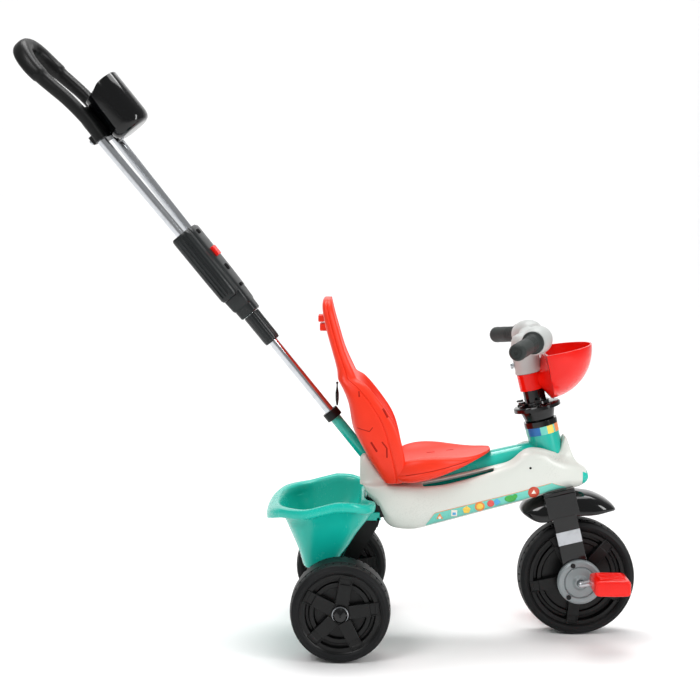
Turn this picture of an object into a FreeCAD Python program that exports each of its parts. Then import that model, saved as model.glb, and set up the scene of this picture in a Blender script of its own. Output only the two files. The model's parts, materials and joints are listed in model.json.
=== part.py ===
import FreeCAD, Part
import math
import os
from FreeCAD import Vector

# Children's tricycle with a parent's push bar.
# Millimetres. +X points the way the tricycle rides, +Y to the rider's left, +Z up.
# Pieces are designed with X = 0 over the rear axle and Z = 0 on the floor, and the whole
# tricycle is moved along X at the end so that X = 0 is the middle of its length.

# ---------------------------------------------------------------- driving dimensions
# running gear
wheelbase = 396.0
rear_wheel_radius = 80.0
rear_wheel_width = 68.0
track_outer = 380.0
front_wheel_radius = 97.5
front_wheel_width = 56.0
tyre_depth = 15.0
rear_axle_dia = 10.0
crank_rod_dia = 11.0
crank_throw = 42.0
spoke_count = 5

hub_r = 17.0
bush_r = 9.0

# steering
head_angle = 13.3
head_tube_dia = 54.0
head_tube_wall = 3.0
head_tube_top = 263.0
head_tube_bottom = 160.0
column_dia = 36.0
column_top = 396.0
flange_dia = 79.0
handlebar_rise = 418.0
handlebar_boss = 23.0
handlebar_knee_y = 60.0
grip_dia = 27.0
grip_length = 88.0
grip_sweep = 24.0
fork_leg_width = 40.0
fork_leg_thickness = 13.0
hub_cover_dia = 74.0
mudguard_radius = 141.0
mudguard_half_width = 46.0
mudguard_drop = 34.0
mudguard_front = 61.0
mudguard_sweep = 70.0
basket_radius = 83.0

# frame and body
main_tube_dia = 50.0
main_tube_wall = 2.0
main_tube_rear_x = 70.0
main_tube_rear_height = 244.5
main_tube_head_station = 213.7
body_wall = 2.5
body_half_width = 60.0
seat_half_width = 98.0
seat_back_height = 568.0

# push bar: all stations are distances along the bar from the clamp collar
bar_tilt = 38.8
bar_turn = -12.5
collar_x = -14.0
collar_height = 371.0
lower_tube_dia = 16.0
socket_wall = 1.1
collar_wall = 5.8
collar_length = 15.0
sleeve_start = 158.0
coupling_start = 216.0
coupling_end = 390.0
loop_start = 592.0
loop_end = 800.0
twin_tube_dia = 16.0
twin_spacing_low = 48.0
twin_spacing_high = 68.0
loop_outer_width = 112.0
loop_bar_dia = 27.0
cup_outer_dia = 68.0
cup_depth = 92.0
cup_wall = 2.8

# bucket
bucket_overhang = 18.0
bucket_floor_half = 88.0
bucket_floor = 128.0
bucket_rim_height = 248.0
bucket_wall = 2.6
bucket_rim_slope = 0.17

# clearances
running = 0.05
slip = 0.1
seat_gap = 0.3
side_gap = 1.0

# ---------------------------------------------------------------- derived places
wheel_centre = Vector(wheelbase, 0, front_wheel_radius)
wheel_outer_y = track_outer / 2
wheel_inner_y = wheel_outer_y - rear_wheel_width
front_half = front_wheel_width / 2
leg_inner_y = front_half + 6.0
leg_outer_y = leg_inner_y + fork_leg_thickness
hub_cover_y = leg_outer_y + 16.0
hub_cover_edge_y = leg_outer_y + 10.0
pedal_inner_y = hub_cover_y + 13.0
pedal_outer_y = pedal_inner_y + 62.0
column_wall = 3.0
main_radius = main_tube_dia / 2
socket_dia = lower_tube_dia + 2 * (slip + socket_wall)
collar_dia = lower_tube_dia + 2 * (slip + collar_wall)


def steering_x(height):
    """Where the steering axis is at a height over the floor."""
    return wheelbase - (height - front_wheel_radius) * math.tan(math.radians(head_angle))


main_tube_head_height = front_wheel_radius + main_tube_head_station * math.cos(math.radians(head_angle))
head_x = steering_x(main_tube_head_height)
rear_point = Vector(main_tube_rear_x, 0, main_tube_rear_height)
head_point = Vector(head_x, 0, main_tube_head_height)
main_tube_axis = (head_point - rear_point).normalize()
main_length = (head_point - rear_point).Length


def main_tube_z(x):
    """The height of the main tube's axis over a place along the tricycle."""
    rise = (main_tube_head_height - main_tube_rear_height) / (head_x - main_tube_rear_x)
    return main_tube_rear_height + (x - main_tube_rear_x) * rise


# ---------------------------------------------------------------- small helpers
def cylinder(radius, length, base=(0, 0, 0), axis=(0, 0, 1)):
    return Part.makeCylinder(radius, length, Vector(*base), Vector(*axis))


def cylinder_y(radius, y_low, y_high, x=0.0, z=0.0):
    return Part.makeCylinder(radius, y_high - y_low, Vector(x, y_low, z), Vector(0, 1, 0))


def tube(outer_r, inner_r, length, base=(0, 0, 0), axis=(0, 0, 1)):
    return cylinder(outer_r, length, base, axis).cut(cylinder(inner_r, length, base, axis))


def box(low, high):
    low = Vector(*low)
    high = Vector(*high)
    size = high - low
    return Part.makeBox(size.x, size.y, size.z, low)


def turned(profile, axis=(0, 0, 1), angle=360.0):
    """A solid of revolution. The profile is a list of (radius, height) corners."""
    points = [Vector(r, 0, h) for r, h in profile]
    face = Part.Face(Part.makePolygon(points + points[:1]))
    solid = face.revolve(Vector(0, 0, 0), Vector(0, 0, 1), angle)
    if axis == (0, 1, 0):
        solid.rotate(Vector(0, 0, 0), Vector(1, 0, 0), -90)
    return solid


def smooth_outline(points, closed=True):
    """A smooth closed curve through the points."""
    curve = Part.BSplineCurve()
    curve.interpolate([Vector(*p) for p in points], PeriodicFlag=closed)
    return Part.Wire(curve.toShape())


def side_plate(corners, y_low, y_high):
    """A flat plate whose outline lies in the X-Z plane."""
    points = [Vector(x, y_low, z) for x, z in corners]
    face = Part.Face(Part.makePolygon(points + points[:1]))
    return face.extrude(Vector(0, y_high - y_low, 0))


def joined(shapes):
    """One solid made of several pieces that meet."""
    result = shapes[0]
    if len(shapes) > 1:
        result = shapes[0].multiFuse(shapes[1:])
    return result.removeSplitter()


def mirrored(shape):
    return shape.mirror(Vector(0, 0, 0), Vector(0, 1, 0))


def on_steering(shape):
    """From the steering frame (X forward, Z up the axis, origin at the front axle)."""
    placed = shape.copy()
    placed.rotate(Vector(0, 0, 0), Vector(0, 1, 0), -head_angle)
    placed.translate(wheel_centre)
    return placed


def on_bar(shape, turn=0.0):
    """From the push bar's frame (X forward, Z up the bar, origin at the collar)."""
    placed = shape.copy()
    placed.rotate(Vector(0, 0, 0), Vector(0, 0, 1), turn)
    placed.rotate(Vector(0, 0, 0), Vector(0, 1, 0), -bar_tilt)
    placed.translate(Vector(collar_x, 0, collar_height))
    return placed


parts = {}


# ---------------------------------------------------------------- wheels
def rear_tyre():
    """The tread ring, crowned, with its axis along Y and its middle at the origin."""
    r = rear_wheel_radius
    half = rear_wheel_width / 2
    shoulder = 5.0
    return turned([
        (r - tyre_depth, -half + 2), (r - shoulder - 1, -half), (r - 2, -half + shoulder),
        (r, -half + 3 * shoulder), (r, half - 3 * shoulder), (r - 2, half - shoulder),
        (r - shoulder - 1, half), (r - tyre_depth, half - 2)], (0, 1, 0))


def wheel_rim(outer_r, width, dish, spoke_width):
    """A moulded wheel centre: ring, web, hub and flat spokes on both faces."""
    half = width / 2
    ring = turned([(outer_r - 13, -half + 5), (outer_r, -half + 2), (outer_r, half - 2),
                   (outer_r - 13, half - 5)], (0, 1, 0))
    web = cylinder_y(outer_r - 6, -half + dish, half - dish)
    hub = cylinder_y(hub_r, -half + 4, half - 4)
    pieces = [ring, web, hub]
    for k in range(spoke_count):
        spoke = box((hub_r - 4, -half + 7, -spoke_width / 2),
                    (outer_r - 8, half - 7, spoke_width / 2))
        spoke.rotate(Vector(0, 0, 0), Vector(0, 1, 0), 360.0 * k / spoke_count)
        pieces.append(spoke)
    return joined(pieces)


def hub_bush(outer_r, bore_dia, width):
    """A plain bush the full width of the wheel."""
    half = width / 2
    bore_r = bore_dia / 2 + running
    return turned([(bore_r, -half), (outer_r, -half), (outer_r, half), (bore_r, half)], (0, 1, 0))


rear_rim_r = rear_wheel_radius - tyre_depth - slip
for side, sign in (("left", 1), ("right", -1)):
    centre = Vector(0, sign * (wheel_outer_y - rear_wheel_width / 2), rear_wheel_radius)
    tyre = rear_tyre()
    tyre.translate(centre)
    rim = wheel_rim(rear_rim_r, rear_wheel_width, 16.0, 21.0)
    rim = rim.cut(cylinder_y(bush_r + running, -rear_wheel_width, rear_wheel_width))
    rim.rotate(Vector(0, 0, 0), Vector(0, 1, 0), -80)
    rim.translate(centre)
    bush = hub_bush(bush_r, rear_axle_dia, rear_wheel_width)
    bush.translate(centre)
    parts["rear_tyre_" + side] = tyre
    parts["rear_rim_" + side] = rim
    parts["rear_bush_" + side] = bush


def front_tyre():
    r = front_wheel_radius
    half = front_half
    return turned([
        (r - tyre_depth, -half + 2), (r - 6.5, -half), (r - 2, -half + 6), (r, -half + 16),
        (r, half - 16), (r - 2, half - 6), (r - 6.5, half), (r - tyre_depth, half - 2)], (0, 1, 0))


front_rim_r = front_wheel_radius - tyre_depth - slip
front = wheel_rim(front_rim_r, front_wheel_width, 14.0, 19.0)
front = front.cut(cylinder_y(crank_rod_dia / 2 + running, -front_wheel_width, front_wheel_width))
front.rotate(Vector(0, 0, 0), Vector(0, 1, 0), -48)
parts["front_tyre"] = on_steering(front_tyre())
parts["front_rim"] = on_steering(front)


# ---------------------------------------------------------------- cranks and pedals
def crank_rod():
    """One bent steel rod: axle, two throws opposite each other and two pedal pins."""
    r = crank_rod_dia / 2
    throw_y = hub_cover_y + 7.0
    pieces = [cylinder_y(r, -throw_y, throw_y)]
    for sign, reach in ((-1, crank_throw), (1, -crank_throw)):
        low = min(0.0, reach)
        arm = cylinder(r, abs(reach), (low, sign * throw_y, 0), (1, 0, 0))
        pin_low = min(sign * throw_y, sign * (pedal_outer_y - 6))
        pin_high = max(sign * throw_y, sign * (pedal_outer_y - 6))
        pieces.append(arm)
        pieces.append(Part.makeSphere(r, Vector(0, sign * throw_y, 0)))
        pieces.append(Part.makeSphere(r, Vector(reach, sign * throw_y, 0)))
        pieces.append(cylinder_y(r, pin_low, pin_high, reach, 0))
    return joined(pieces)


def pedal(sign):
    """A hollow-backed block pedal with a raised tread, on a pedal pin along Y."""
    length = 58.0
    height = 26.0
    y_low = pedal_inner_y
    y_high = pedal_outer_y
    body = box((-length / 2, y_low, -height / 2), (length / 2, y_high, height / 2))
    body = body.makeFillet(5.0, [e for e in body.Edges if abs(e.Vertexes[0].Y - e.Vertexes[1].Y) > 1])
    for k in (-1, 1):
        pocket = box((k * 19.0 - 7, y_low + 8, -height), (k * 19.0 + 7, y_high - 8, height))
        body = body.cut(pocket)
    pin_r = crank_rod_dia / 2 + running
    body = body.cut(cylinder_y(pin_r, y_low - 1, y_high - 6 + seat_gap))
    if sign < 0:
        body = mirrored(body)
    return body


parts["crank_rod"] = on_steering(crank_rod())
for side, sign in (("left", 1), ("right", -1)):
    block = pedal(sign)
    block.rotate(Vector(0, 0, 0), Vector(0, 1, 0), head_angle)
    block.translate(Vector(-sign * crank_throw, 0, 0))
    parts["pedal_" + side] = on_steering(block)


# ---------------------------------------------------------------- fork
def hub_cover(sign):
    """A shallow turned cap on the fork end, with a groove and a raised centre."""
    r = hub_cover_dia / 2
    base = leg_outer_y
    bore = crank_rod_dia / 2 + 0.6
    cap = turned([(bore, base), (r, base), (r, hub_cover_edge_y - 3), (r - 3, hub_cover_edge_y),
                  (27, hub_cover_edge_y), (25.5, hub_cover_edge_y - 2), (24, hub_cover_edge_y),
                  (13, hub_cover_edge_y + 1), (8.5, hub_cover_y), (bore, hub_cover_y)], (0, 1, 0))
    for k in range(3):
        angle = math.radians(100 + 120 * k)
        hole = cylinder_y(2.6, base, hub_cover_y, 31 * math.cos(angle), 31 * math.sin(angle))
        cap = cap.cut(hole)
    return cap if sign > 0 else mirrored(cap)


def hub_cover_screws(sign):
    screws = []
    for k in range(3):
        angle = math.radians(100 + 120 * k)
        x = 31 * math.cos(angle)
        z = 31 * math.sin(angle)
        shank = cylinder_y(2.6, leg_outer_y, hub_cover_edge_y - 1, x, z)
        head = cylinder_y(4.0, hub_cover_edge_y, hub_cover_edge_y + 1.6, x, z)
        neck = cylinder_y(2.6, hub_cover_edge_y - 1.5, hub_cover_edge_y + 0.5, x, z)
        screws.append(joined([shank, neck, head]))
    group = Part.makeCompound(screws)
    return group if sign > 0 else mirrored(group)


crown_low = mudguard_radius + 1.5
crown_high = 149.0
cap_thickness = 7.0
leg_head_low = 112.0
band_height = 76.0
band_half = 11.0


def fork_leg(sign):
    """A flat leg that widens into a round fork end with a bearing hole."""
    w = fork_leg_width / 2
    leg = box((-w, leg_inner_y, 0), (w, leg_outer_y, crown_high))
    end = cylinder_y(hub_cover_dia / 2 - 3, leg_inner_y, leg_outer_y)
    head = box((-w - 6, leg_inner_y, leg_head_low), (w + 6, leg_outer_y + 3, crown_high))
    leg = joined([leg, end, head])
    leg = leg.cut(cylinder_y(crank_rod_dia / 2 + slip, leg_inner_y - 1, leg_outer_y + 1))
    leg = leg.cut(box((-w - 1, leg_outer_y - 1.2, band_height - band_half),
                      (w + 1, leg_outer_y + 1, band_height + band_half)))
    return leg if sign > 0 else mirrored(leg)


def fork_band(sign):
    """A thin metal plate let into the outside of the leg."""
    w = fork_leg_width / 2
    band = box((-w, leg_outer_y - 1.2, band_height - band_half),
               (w, leg_outer_y + 0.4, band_height + band_half))
    return band if sign > 0 else mirrored(band)


def fork_crown():
    """The block between the legs that carries the column and the mudguard."""
    w = fork_leg_width / 2 + 6
    crown = box((-w + 3, -leg_inner_y, crown_low), (w - 3, leg_inner_y, crown_high))
    cap = box((-w, -leg_outer_y - 3, crown_high), (w, leg_outer_y + 3, crown_high + cap_thickness))
    return joined([crown, cap])


def mudguard():
    """A crowned, curved shell over the front wheel, bolted under the crown."""
    thickness = 3.0
    top_r = mudguard_radius

    def section(radius, half_width):
        top = Vector(radius, 0, 0)
        edge = Vector(radius - mudguard_drop, half_width, 0)
        inner_top = Vector(radius - thickness, 0, 0)
        inner_edge = Vector(radius - mudguard_drop, half_width - thickness, 0)
        drop = mudguard_drop * 0.25
        mid = Vector(radius - drop, half_width * 0.72, 0)
        inner_mid = Vector(radius - drop - thickness, half_width * 0.72 - thickness * 0.6, 0)

        def flip(p):
            return Vector(p.x, -p.y, p.z)
        outer = Part.Arc(flip(mid), top, mid).toShape()
        inner = Part.Arc(inner_mid, inner_top, flip(inner_mid)).toShape()
        edges = [outer, Part.makeLine(mid, edge), Part.makeLine(edge, inner_edge),
                 Part.makeLine(inner_edge, inner_mid), inner,
                 Part.makeLine(flip(inner_mid), flip(inner_edge)),
                 Part.makeLine(flip(inner_edge), flip(edge)), Part.makeLine(flip(edge), flip(mid))]
        return Part.Face(Part.Wire(edges))
    face = section(top_r, mudguard_half_width)
    face.rotate(Vector(0, 0, 0), Vector(0, 1, 0), head_angle - mudguard_front)
    shell = face.revolve(Vector(0, 0, 0), Vector(0, 1, 0), -mudguard_sweep)
    return shell


legs = {}
for side, sign in (("left", 1), ("right", -1)):
    parts["hub_cover_" + side] = on_steering(hub_cover(sign))
    parts["hub_cover_screws_" + side] = on_steering(hub_cover_screws(sign))
    parts["fork_leg_" + side] = on_steering(fork_leg(sign))
    parts["fork_band_" + side] = on_steering(fork_band(sign))
crown = fork_crown()
guard = mudguard()
guard = guard.cut(crown)
leg_space = box((-fork_leg_width / 2 - 6 - seat_gap, leg_inner_y - seat_gap, 0),
                (fork_leg_width / 2 + 6 + seat_gap, leg_outer_y + 20, crown_high + 20))
guard = guard.cut(leg_space).cut(mirrored(leg_space))
guard = max(guard.Solids, key=lambda s: s.Volume)
parts["fork_crown"] = on_steering(crown)
parts["mudguard"] = on_steering(guard)


# ---------------------------------------------------------------- head and column
def head_tube():
    r = head_tube_dia / 2
    body = tube(r, r - head_tube_wall, head_tube_top - head_tube_bottom, (0, 0, head_tube_bottom))
    return body


def head_bush(top):
    """A flanged plastic bush that the column turns in."""
    outer = head_tube_dia / 2
    seat = outer - head_tube_wall
    bore = column_dia / 2 + running
    if top:
        z = head_tube_top
        return turned([(bore, z - 14), (seat, z - 14), (seat, z), (outer + 1, z), (outer + 1, z + 9),
                       (bore, z + 9)])
    z = head_tube_bottom
    low = crown_high + cap_thickness + seat_gap
    return turned([(bore, low), (outer, low), (outer, z), (seat, z), (seat, z + 14), (bore, z + 14)])


def column():
    """The steering column, a tube from the fork crown up into the handlebar."""
    r = column_dia / 2
    low = crown_high + cap_thickness
    return tube(r, r - column_wall, column_top - low, (0, 0, low))


def flange():
    """The tapered steering stop with its broad disc."""
    r = column_dia / 2 + slip
    z = head_tube_top + 9 + seat_gap
    disc = flange_dia / 2
    body = turned([(r, z), (24, z), (29, z + 17), (29, z + 19), (disc, z + 19), (disc, z + 25),
                   (disc - 2.5, z + 27), (22, z + 27), (22, z + 32), (r, z + 32)])
    clips = []
    for angle in (90, 150, 210, 270):
        clip = box((24, -4, z + 27), (33, 4, z + 37))
        clip = clip.cut(box((27, -5, z + 30), (34, 5, z + 34)))
        clip.rotate(Vector(0, 0, 0), Vector(0, 0, 1), angle)
        clips.append(clip)
    return joined([body] + clips)


parts["head_tube"] = on_steering(head_tube())
parts["head_bush_upper"] = on_steering(head_bush(True))
parts["head_bush_lower"] = on_steering(head_bush(False))
parts["steering_column"] = on_steering(column())
parts["steering_flange"] = on_steering(flange())

bowl_height = 386.0
sleeve_low = 325.0
sleeve_high = 353.0


def front_basket():
    """A half bowl in front of the column with a sleeve that slides over it."""
    r = basket_radius
    rim_height = bowl_height - 5.0
    centre = Vector(28.6, 0, bowl_height)
    outer = Part.makeSphere(r, centre)
    inner = Part.makeSphere(r - 2.6, centre)
    rim_cut = box((-200, -200, rim_height), (300, 200, 600))
    rim_cut.rotate(Vector(65.0, 0, rim_height), Vector(0, 1, 0), 3.6)
    back_cut = box((-300, -200, 0), (26.0, 200, 600))
    inner_back = box((-300, -200, 0), (28.8, 200, 600))
    boss_room = cylinder(handlebar_boss + 1.0, 200, (0, 0, sleeve_high))
    bowl = outer.cut(inner.cut(inner_back)).cut(rim_cut).cut(back_cut).cut(boss_room)
    sleeve_r = column_dia / 2 + slip
    sleeve = cylinder(sleeve_r + 3.4, sleeve_high - sleeve_low, (0, 0, sleeve_low))
    web = box((0, -16, sleeve_low), (27.0, 16, sleeve_high))
    whole = joined([bowl, sleeve, web])
    return whole.cut(cylinder(sleeve_r, 400, (0, 0, 200)))


def handlebar():
    """The moulded centre piece: boss, two arms and two round grip holders."""
    boss_r = handlebar_boss
    bore_r = column_dia / 2 + slip
    low = sleeve_high + seat_gap
    boss = cylinder(boss_r, handlebar_rise - low - 6, (0, 0, low))
    top = turned([(0, handlebar_rise - 6), (boss_r, handlebar_rise - 6), (boss_r - 7, handlebar_rise + 2),
                  (0, handlebar_rise + 2)])
    pieces = [boss, top]
    for sign in (-1, 1):
        start = Vector(4, 0, handlebar_rise - 19)
        knee = Vector(21, sign * handlebar_knee_y, handlebar_rise - 8)
        arm_axis = knee - start
        pieces.append(Part.makeCylinder(15, arm_axis.Length, start, arm_axis))
        pieces.append(Part.makeSphere(19, knee))
        sweep = math.radians(grip_sweep)
        direction = Vector(-math.sin(sweep), sign * math.cos(sweep), 0)
        pieces.append(Part.makeCone(19, 17, 30, knee, direction))
    body = joined(pieces)
    return body.cut(cylinder(bore_r, column_top + 0.5 - 100, (0, 0, 100)))


def grip(sign):
    """A rubber grip with a broad inner flange and a rounded end."""
    sweep = math.radians(grip_sweep)
    direction = Vector(-math.sin(sweep), sign * math.cos(sweep), 0)
    knee = Vector(21, sign * handlebar_knee_y, handlebar_rise - 8)
    r = grip_dia / 2
    body = turned([(0, 0), (r + 5, 0), (r + 5, 4), (r, 8), (r, grip_length), (r - 1.5, grip_length + 3),
                   (r - 5, grip_length + 4), (0, grip_length + 4)])
    turn = FreeCAD.Rotation(Vector(0, 0, 1), direction)
    body.Placement = FreeCAD.Placement(knee + direction * (30.0 + 0.1), turn)
    return body


parts["front_basket"] = on_steering(front_basket())
parts["handlebar"] = on_steering(handlebar())
for side, sign in (("left", 1), ("right", -1)):
    parts["grip_" + side] = on_steering(grip(sign))
bolt_height = sleeve_high + 18.0
bolt = cylinder(3.0, 52, (-26, 0, bolt_height), (1, 0, 0))
bolt_head = cylinder(5.5, 4, (-28, 0, bolt_height), (1, 0, 0))
stem_bolt = joined([bolt, bolt_head])
parts["stem_bolt"] = on_steering(stem_bolt)
for name in ("handlebar", "steering_column"):
    parts[name] = parts[name].cut(parts["stem_bolt"])

# ---------------------------------------------------------------- steel frame
main = Part.makeCylinder(main_radius, main_length, rear_point, main_tube_axis)
main = main.cut(Part.makeCylinder(main_radius - main_tube_wall, main_length, rear_point, main_tube_axis))
main = main.cut(on_steering(cylinder(head_tube_dia / 2, 300, (0, 0, 100))))
parts["main_tube"] = max(main.Solids, key=lambda s: s.Volume)

socket_low = -168.0
socket = tube(socket_dia / 2, lower_tube_dia / 2 + slip, -collar_length / 2 - socket_low, (0, 0, socket_low))
socket = on_bar(socket)
solid_main = Part.makeCylinder(main_radius, main_length, rear_point, main_tube_axis)
socket = socket.cut(solid_main)
parts["bar_socket"] = max(socket.Solids, key=lambda s: s.BoundBox.ZMax)

# ---------------------------------------------------------------- rear bracket, axle, nuts
hinge_x = -4.0
hinge_z = 116.0
hinge_r = 4.0
hook_y = 60.0
peg_r = 3.5


def rear_bracket():
    """The black moulding that joins the frame's rear end to the rear axle."""
    beam_half = wheel_inner_y - side_gap
    beam = cylinder_y(15.0, -beam_half, beam_half, 0, rear_wheel_radius)
    pieces = [beam]
    for sign in (-1, 1):
        y0 = min(sign * 38, sign * 54)
        leg = side_plate([(-12, rear_wheel_radius), (13, rear_wheel_radius), (30, 140), (58, 186),
                          (66, 206), (36, 206), (26, 182), (4, 142)], y0, y0 + 16)
        pieces.append(leg)
    saddle = side_plate([(42, 190), (61, 190), (66, 206), (96, 214), (96, 226), (46, 226), (36, 206)],
                        -54, 54)
    pieces.append(saddle)
    for sign in (-1, 1):
        y0 = min(sign * 53, sign * (hook_y + 3))
        pieces.append(cylinder_y(peg_r, y0, y0 + hook_y - 50, 58, 203 - seat_gap - peg_r))
    body = joined(pieces)
    body = body.cut(cylinder_y(rear_axle_dia / 2, -200, 200, 0, rear_wheel_radius))
    return body.cut(Part.makeCylinder(main_radius + seat_gap, 300, rear_point - main_tube_axis * 40,
                                      main_tube_axis))


parts["rear_bracket"] = rear_bracket()
axle_half = wheel_outer_y + 7.0
parts["rear_axle"] = cylinder_y(rear_axle_dia / 2, -axle_half, axle_half, 0, rear_wheel_radius)
nuts = []
washers = []
nut_r = rear_axle_dia / 2 + running
for sign in (-1, 1):
    y = sign * (wheel_outer_y + side_gap / 2)
    nut = turned([(nut_r, 1.5), (12, 1.5), (12, 6), (9, 9.5), (0, 11), (0, 7.6), (nut_r, 7.6)], (0, 1, 0))
    washer = turned([(nut_r, 0), (13, 0), (13, 1.5), (nut_r, 1.5)], (0, 1, 0))
    for piece, group in ((nut, nuts), (washer, washers)):
        if sign < 0:
            piece = mirrored(piece)
        piece.translate(Vector(0, y, rear_wheel_radius))
        group.append(piece)
parts["axle_dome_nuts"] = Part.makeCompound(nuts)
parts["axle_washers"] = Part.makeCompound(washers)

# ---------------------------------------------------------------- body shells
# Outline of the body cover, seen from the side. Rear points are measured from the rear axle
# along X, front points from the head tube, and all of them up from the main tube's axis.
rear_top = [
    (32, 65.9), (41, 71.9), (50, 59.9), (66, 32.4), (100, 10.9), (165, 10.6), (182, 9.8)]
front_edge = [
    (-106.8, 10.1), (-78.8, 11.9), (-64.8, 17.8), (-46.8, 26.8), (-24.8, 27), (-8.8, 16.5),
    (9.2, 0.5), (14.2, 11.4), (21.2, 35.9), (33.2, 9.2), (43.2, -15), (55.2, -25.6), (60.2, -32.7),
    (55.2, -50.6), (35.2, -57.2), (-46.8, -58.2)]
rear_bottom = [
    (140, -66.9), (120, -66.5), (78, -46.3), (64, -19.2), (42, 7.7), (35, 43.2)]
body_outline = [(x, main_tube_z(x) + rise) for x, rise in rear_top]
body_outline += [(head_x + x, main_tube_z(head_x + x) + rise) for x, rise in front_edge]
body_outline += [(x, main_tube_z(x) + rise) for x, rise in rear_bottom]


# place along the tricycle, and how much narrower than its widest the body is there
plan_stations = [(20, 16), (60, 6), (130, 0), (240, 2), (head_x - 17, 10), (head_x + 33, 24),
                 (head_x + 65, 40)]


def plan_half(x):
    """Half the body's width at a place along the tricycle."""
    for (x0, w0), (x1, w1) in zip(plan_stations, plan_stations[1:]):
        if x <= x1:
            share = (x - x0) / (x1 - x0)
            return body_half_width - w0 - share * (w1 - w0)
    return body_half_width - plan_stations[-1][1]


def plan_face(grow):
    xs = [x for x, narrower in plan_stations]
    near = [Vector(x, -(plan_half(x) + grow), 0) for x in xs]
    far = [Vector(x, plan_half(x) + grow, 0) for x in reversed(xs)]
    return Part.Face(Part.makePolygon(near + far + near[:1])).extrude(Vector(0, 0, 500))


def body_solid(grow):
    points = [Vector(x, -100, z) for x, z in body_outline]
    wire = Part.makePolygon(points + points[:1])
    if grow:
        wire = wire.makeOffset2D(grow, 2)
    face = Part.Face(wire)
    return face.extrude(Vector(0, 200, 0)).common(plan_face(grow))


outer_body = body_solid(0)
inner_body = body_solid(-body_wall)
shell = outer_body.cut(inner_body)
tube_room = Part.makeCylinder(main_radius + 1, 600, rear_point - main_tube_axis * 30, main_tube_axis)
head_room = on_steering(cylinder(head_tube_dia / 2 + seat_gap + 2.2, 400, (0, 0, head_tube_bottom - 20)))
crown_room = on_steering(cylinder(60, 80, (0, 0, crown_high + cap_thickness + seat_gap - 80)))
socket_room = on_bar(cylinder(socket_dia / 2 + 1.5, 260, (0, 0, socket_low)))
bracket_room = box((30, -54 - seat_gap, 180), (98, 54 + seat_gap, 227))
slot_front = head_x - 77.0
slot_half = main_radius + 4.0
slot_room = side_plate([(96, main_tube_z(96) - 11), (slot_front, main_tube_z(slot_front) - 11),
                        (slot_front, main_tube_z(slot_front) + 44), (96, main_tube_z(96) + 69)],
                       -slot_half, slot_half)
for room in (tube_room, head_room, crown_room, socket_room, bracket_room, slot_room):
    shell = shell.cut(room)
window_x = head_x + 45.0
window_z = main_tube_z(window_x) - 58.0
shell = shell.cut(box((window_x, -16, window_z), (window_x + 20, 16, window_z + 16)))
for side, sign in (("left", 1), ("right", -1)):
    low_y = 0.0 if sign > 0 else -150.0
    half = shell.common(box((-50, low_y, 100), (500, low_y + 150, 500)))
    parts["body_shell_" + side] = max(half.Solids, key=lambda s: s.Volume)
screws = []
for x, z in ((head_x - 33, main_tube_z(head_x - 33) - main_radius - 6.5),
             (112, main_tube_z(112) - main_radius - 17)):
    reach = plan_half(x)
    head = cylinder_y(3.4, -reach + 0.3, -reach + 2.4, x, z)
    shank = cylinder_y(1.8, -reach + 2, 14, x, z)
    screw = joined([head, shank])
    boss = cylinder_y(4.6, -reach + 1, -slip, x, z)
    far_boss = cylinder_y(4.6, slip, reach - 1, x, z)
    parts["body_shell_right"] = joined([parts["body_shell_right"], boss]).cut(screw)
    parts["body_shell_left"] = joined([parts["body_shell_left"], far_boss]).cut(screw)
    screws.append(screw)
parts["shell_screws"] = Part.makeCompound(screws)
window = outer_body.common(box((window_x, -16 + slip, window_z + slip),
                               (window_x + 20, 16 - slip, window_z + 16 - slip)))
parts["nose_window"] = max(window.Solids, key=lambda s: s.Volume)


# ---------------------------------------------------------------- seat
def seat_base():
    """A blow-moulded saddle, broad at the back and pointed at the front."""
    def outline(width, x_back, x_tip, z_at):
        points = [(x_back, -width * 0.86), (x_back + 40, -width), (x_back + 88, -width * 0.8),
                  (x_tip - 28, -width * 0.42), (x_tip, 0), (x_tip - 28, width * 0.42),
                  (x_back + 88, width * 0.8), (x_back + 40, width), (x_back, width * 0.86)]
        return Part.makePolygon([Vector(x, y, z_at(x)) for x, y in points] +
                                [Vector(points[0][0], points[0][1], z_at(points[0][0]))])
    bottom = outline(seat_half_width - 14, 96, 236, lambda x: main_tube_z(x) + 17)
    middle = outline(seat_half_width, 92, 250, lambda x: main_tube_z(x) + 36 - (x - 92) * 0.045)
    top = outline(seat_half_width - 10, 98, 246, lambda x: main_tube_z(x) + 58 - (x - 92) * 0.13)
    lower = Part.makeLoft([bottom, middle], True, True)
    upper = Part.makeLoft([middle, top], True, True)
    return joined([lower, upper])


def seat_back():
    """The tall back rest, a slab that follows the rider's back and narrows upwards."""
    stations = [
        (270, 66, 93.5, 72), (310, 42, 96, 92), (346, 30, 86, 96), (389, 15, 70, 94), (412, 8, 56, 88),
        (438, -3, 30, 76), (464, -10, 14, 70), (500, -22, -1, 68), (540, -30, -9, 66),
        (seat_back_height - 4, -32, -15, 46)]
    wires = []
    for z, x_back, x_front, half in stations:
        points = [Vector(x_back, -half * 0.8, z), Vector(x_front, -half, z), Vector(x_front, half, z),
                  Vector(x_back, half * 0.8, z)]
        wires.append(Part.makePolygon(points + points[:1]))
    return Part.makeLoft(wires, True, True)


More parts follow.
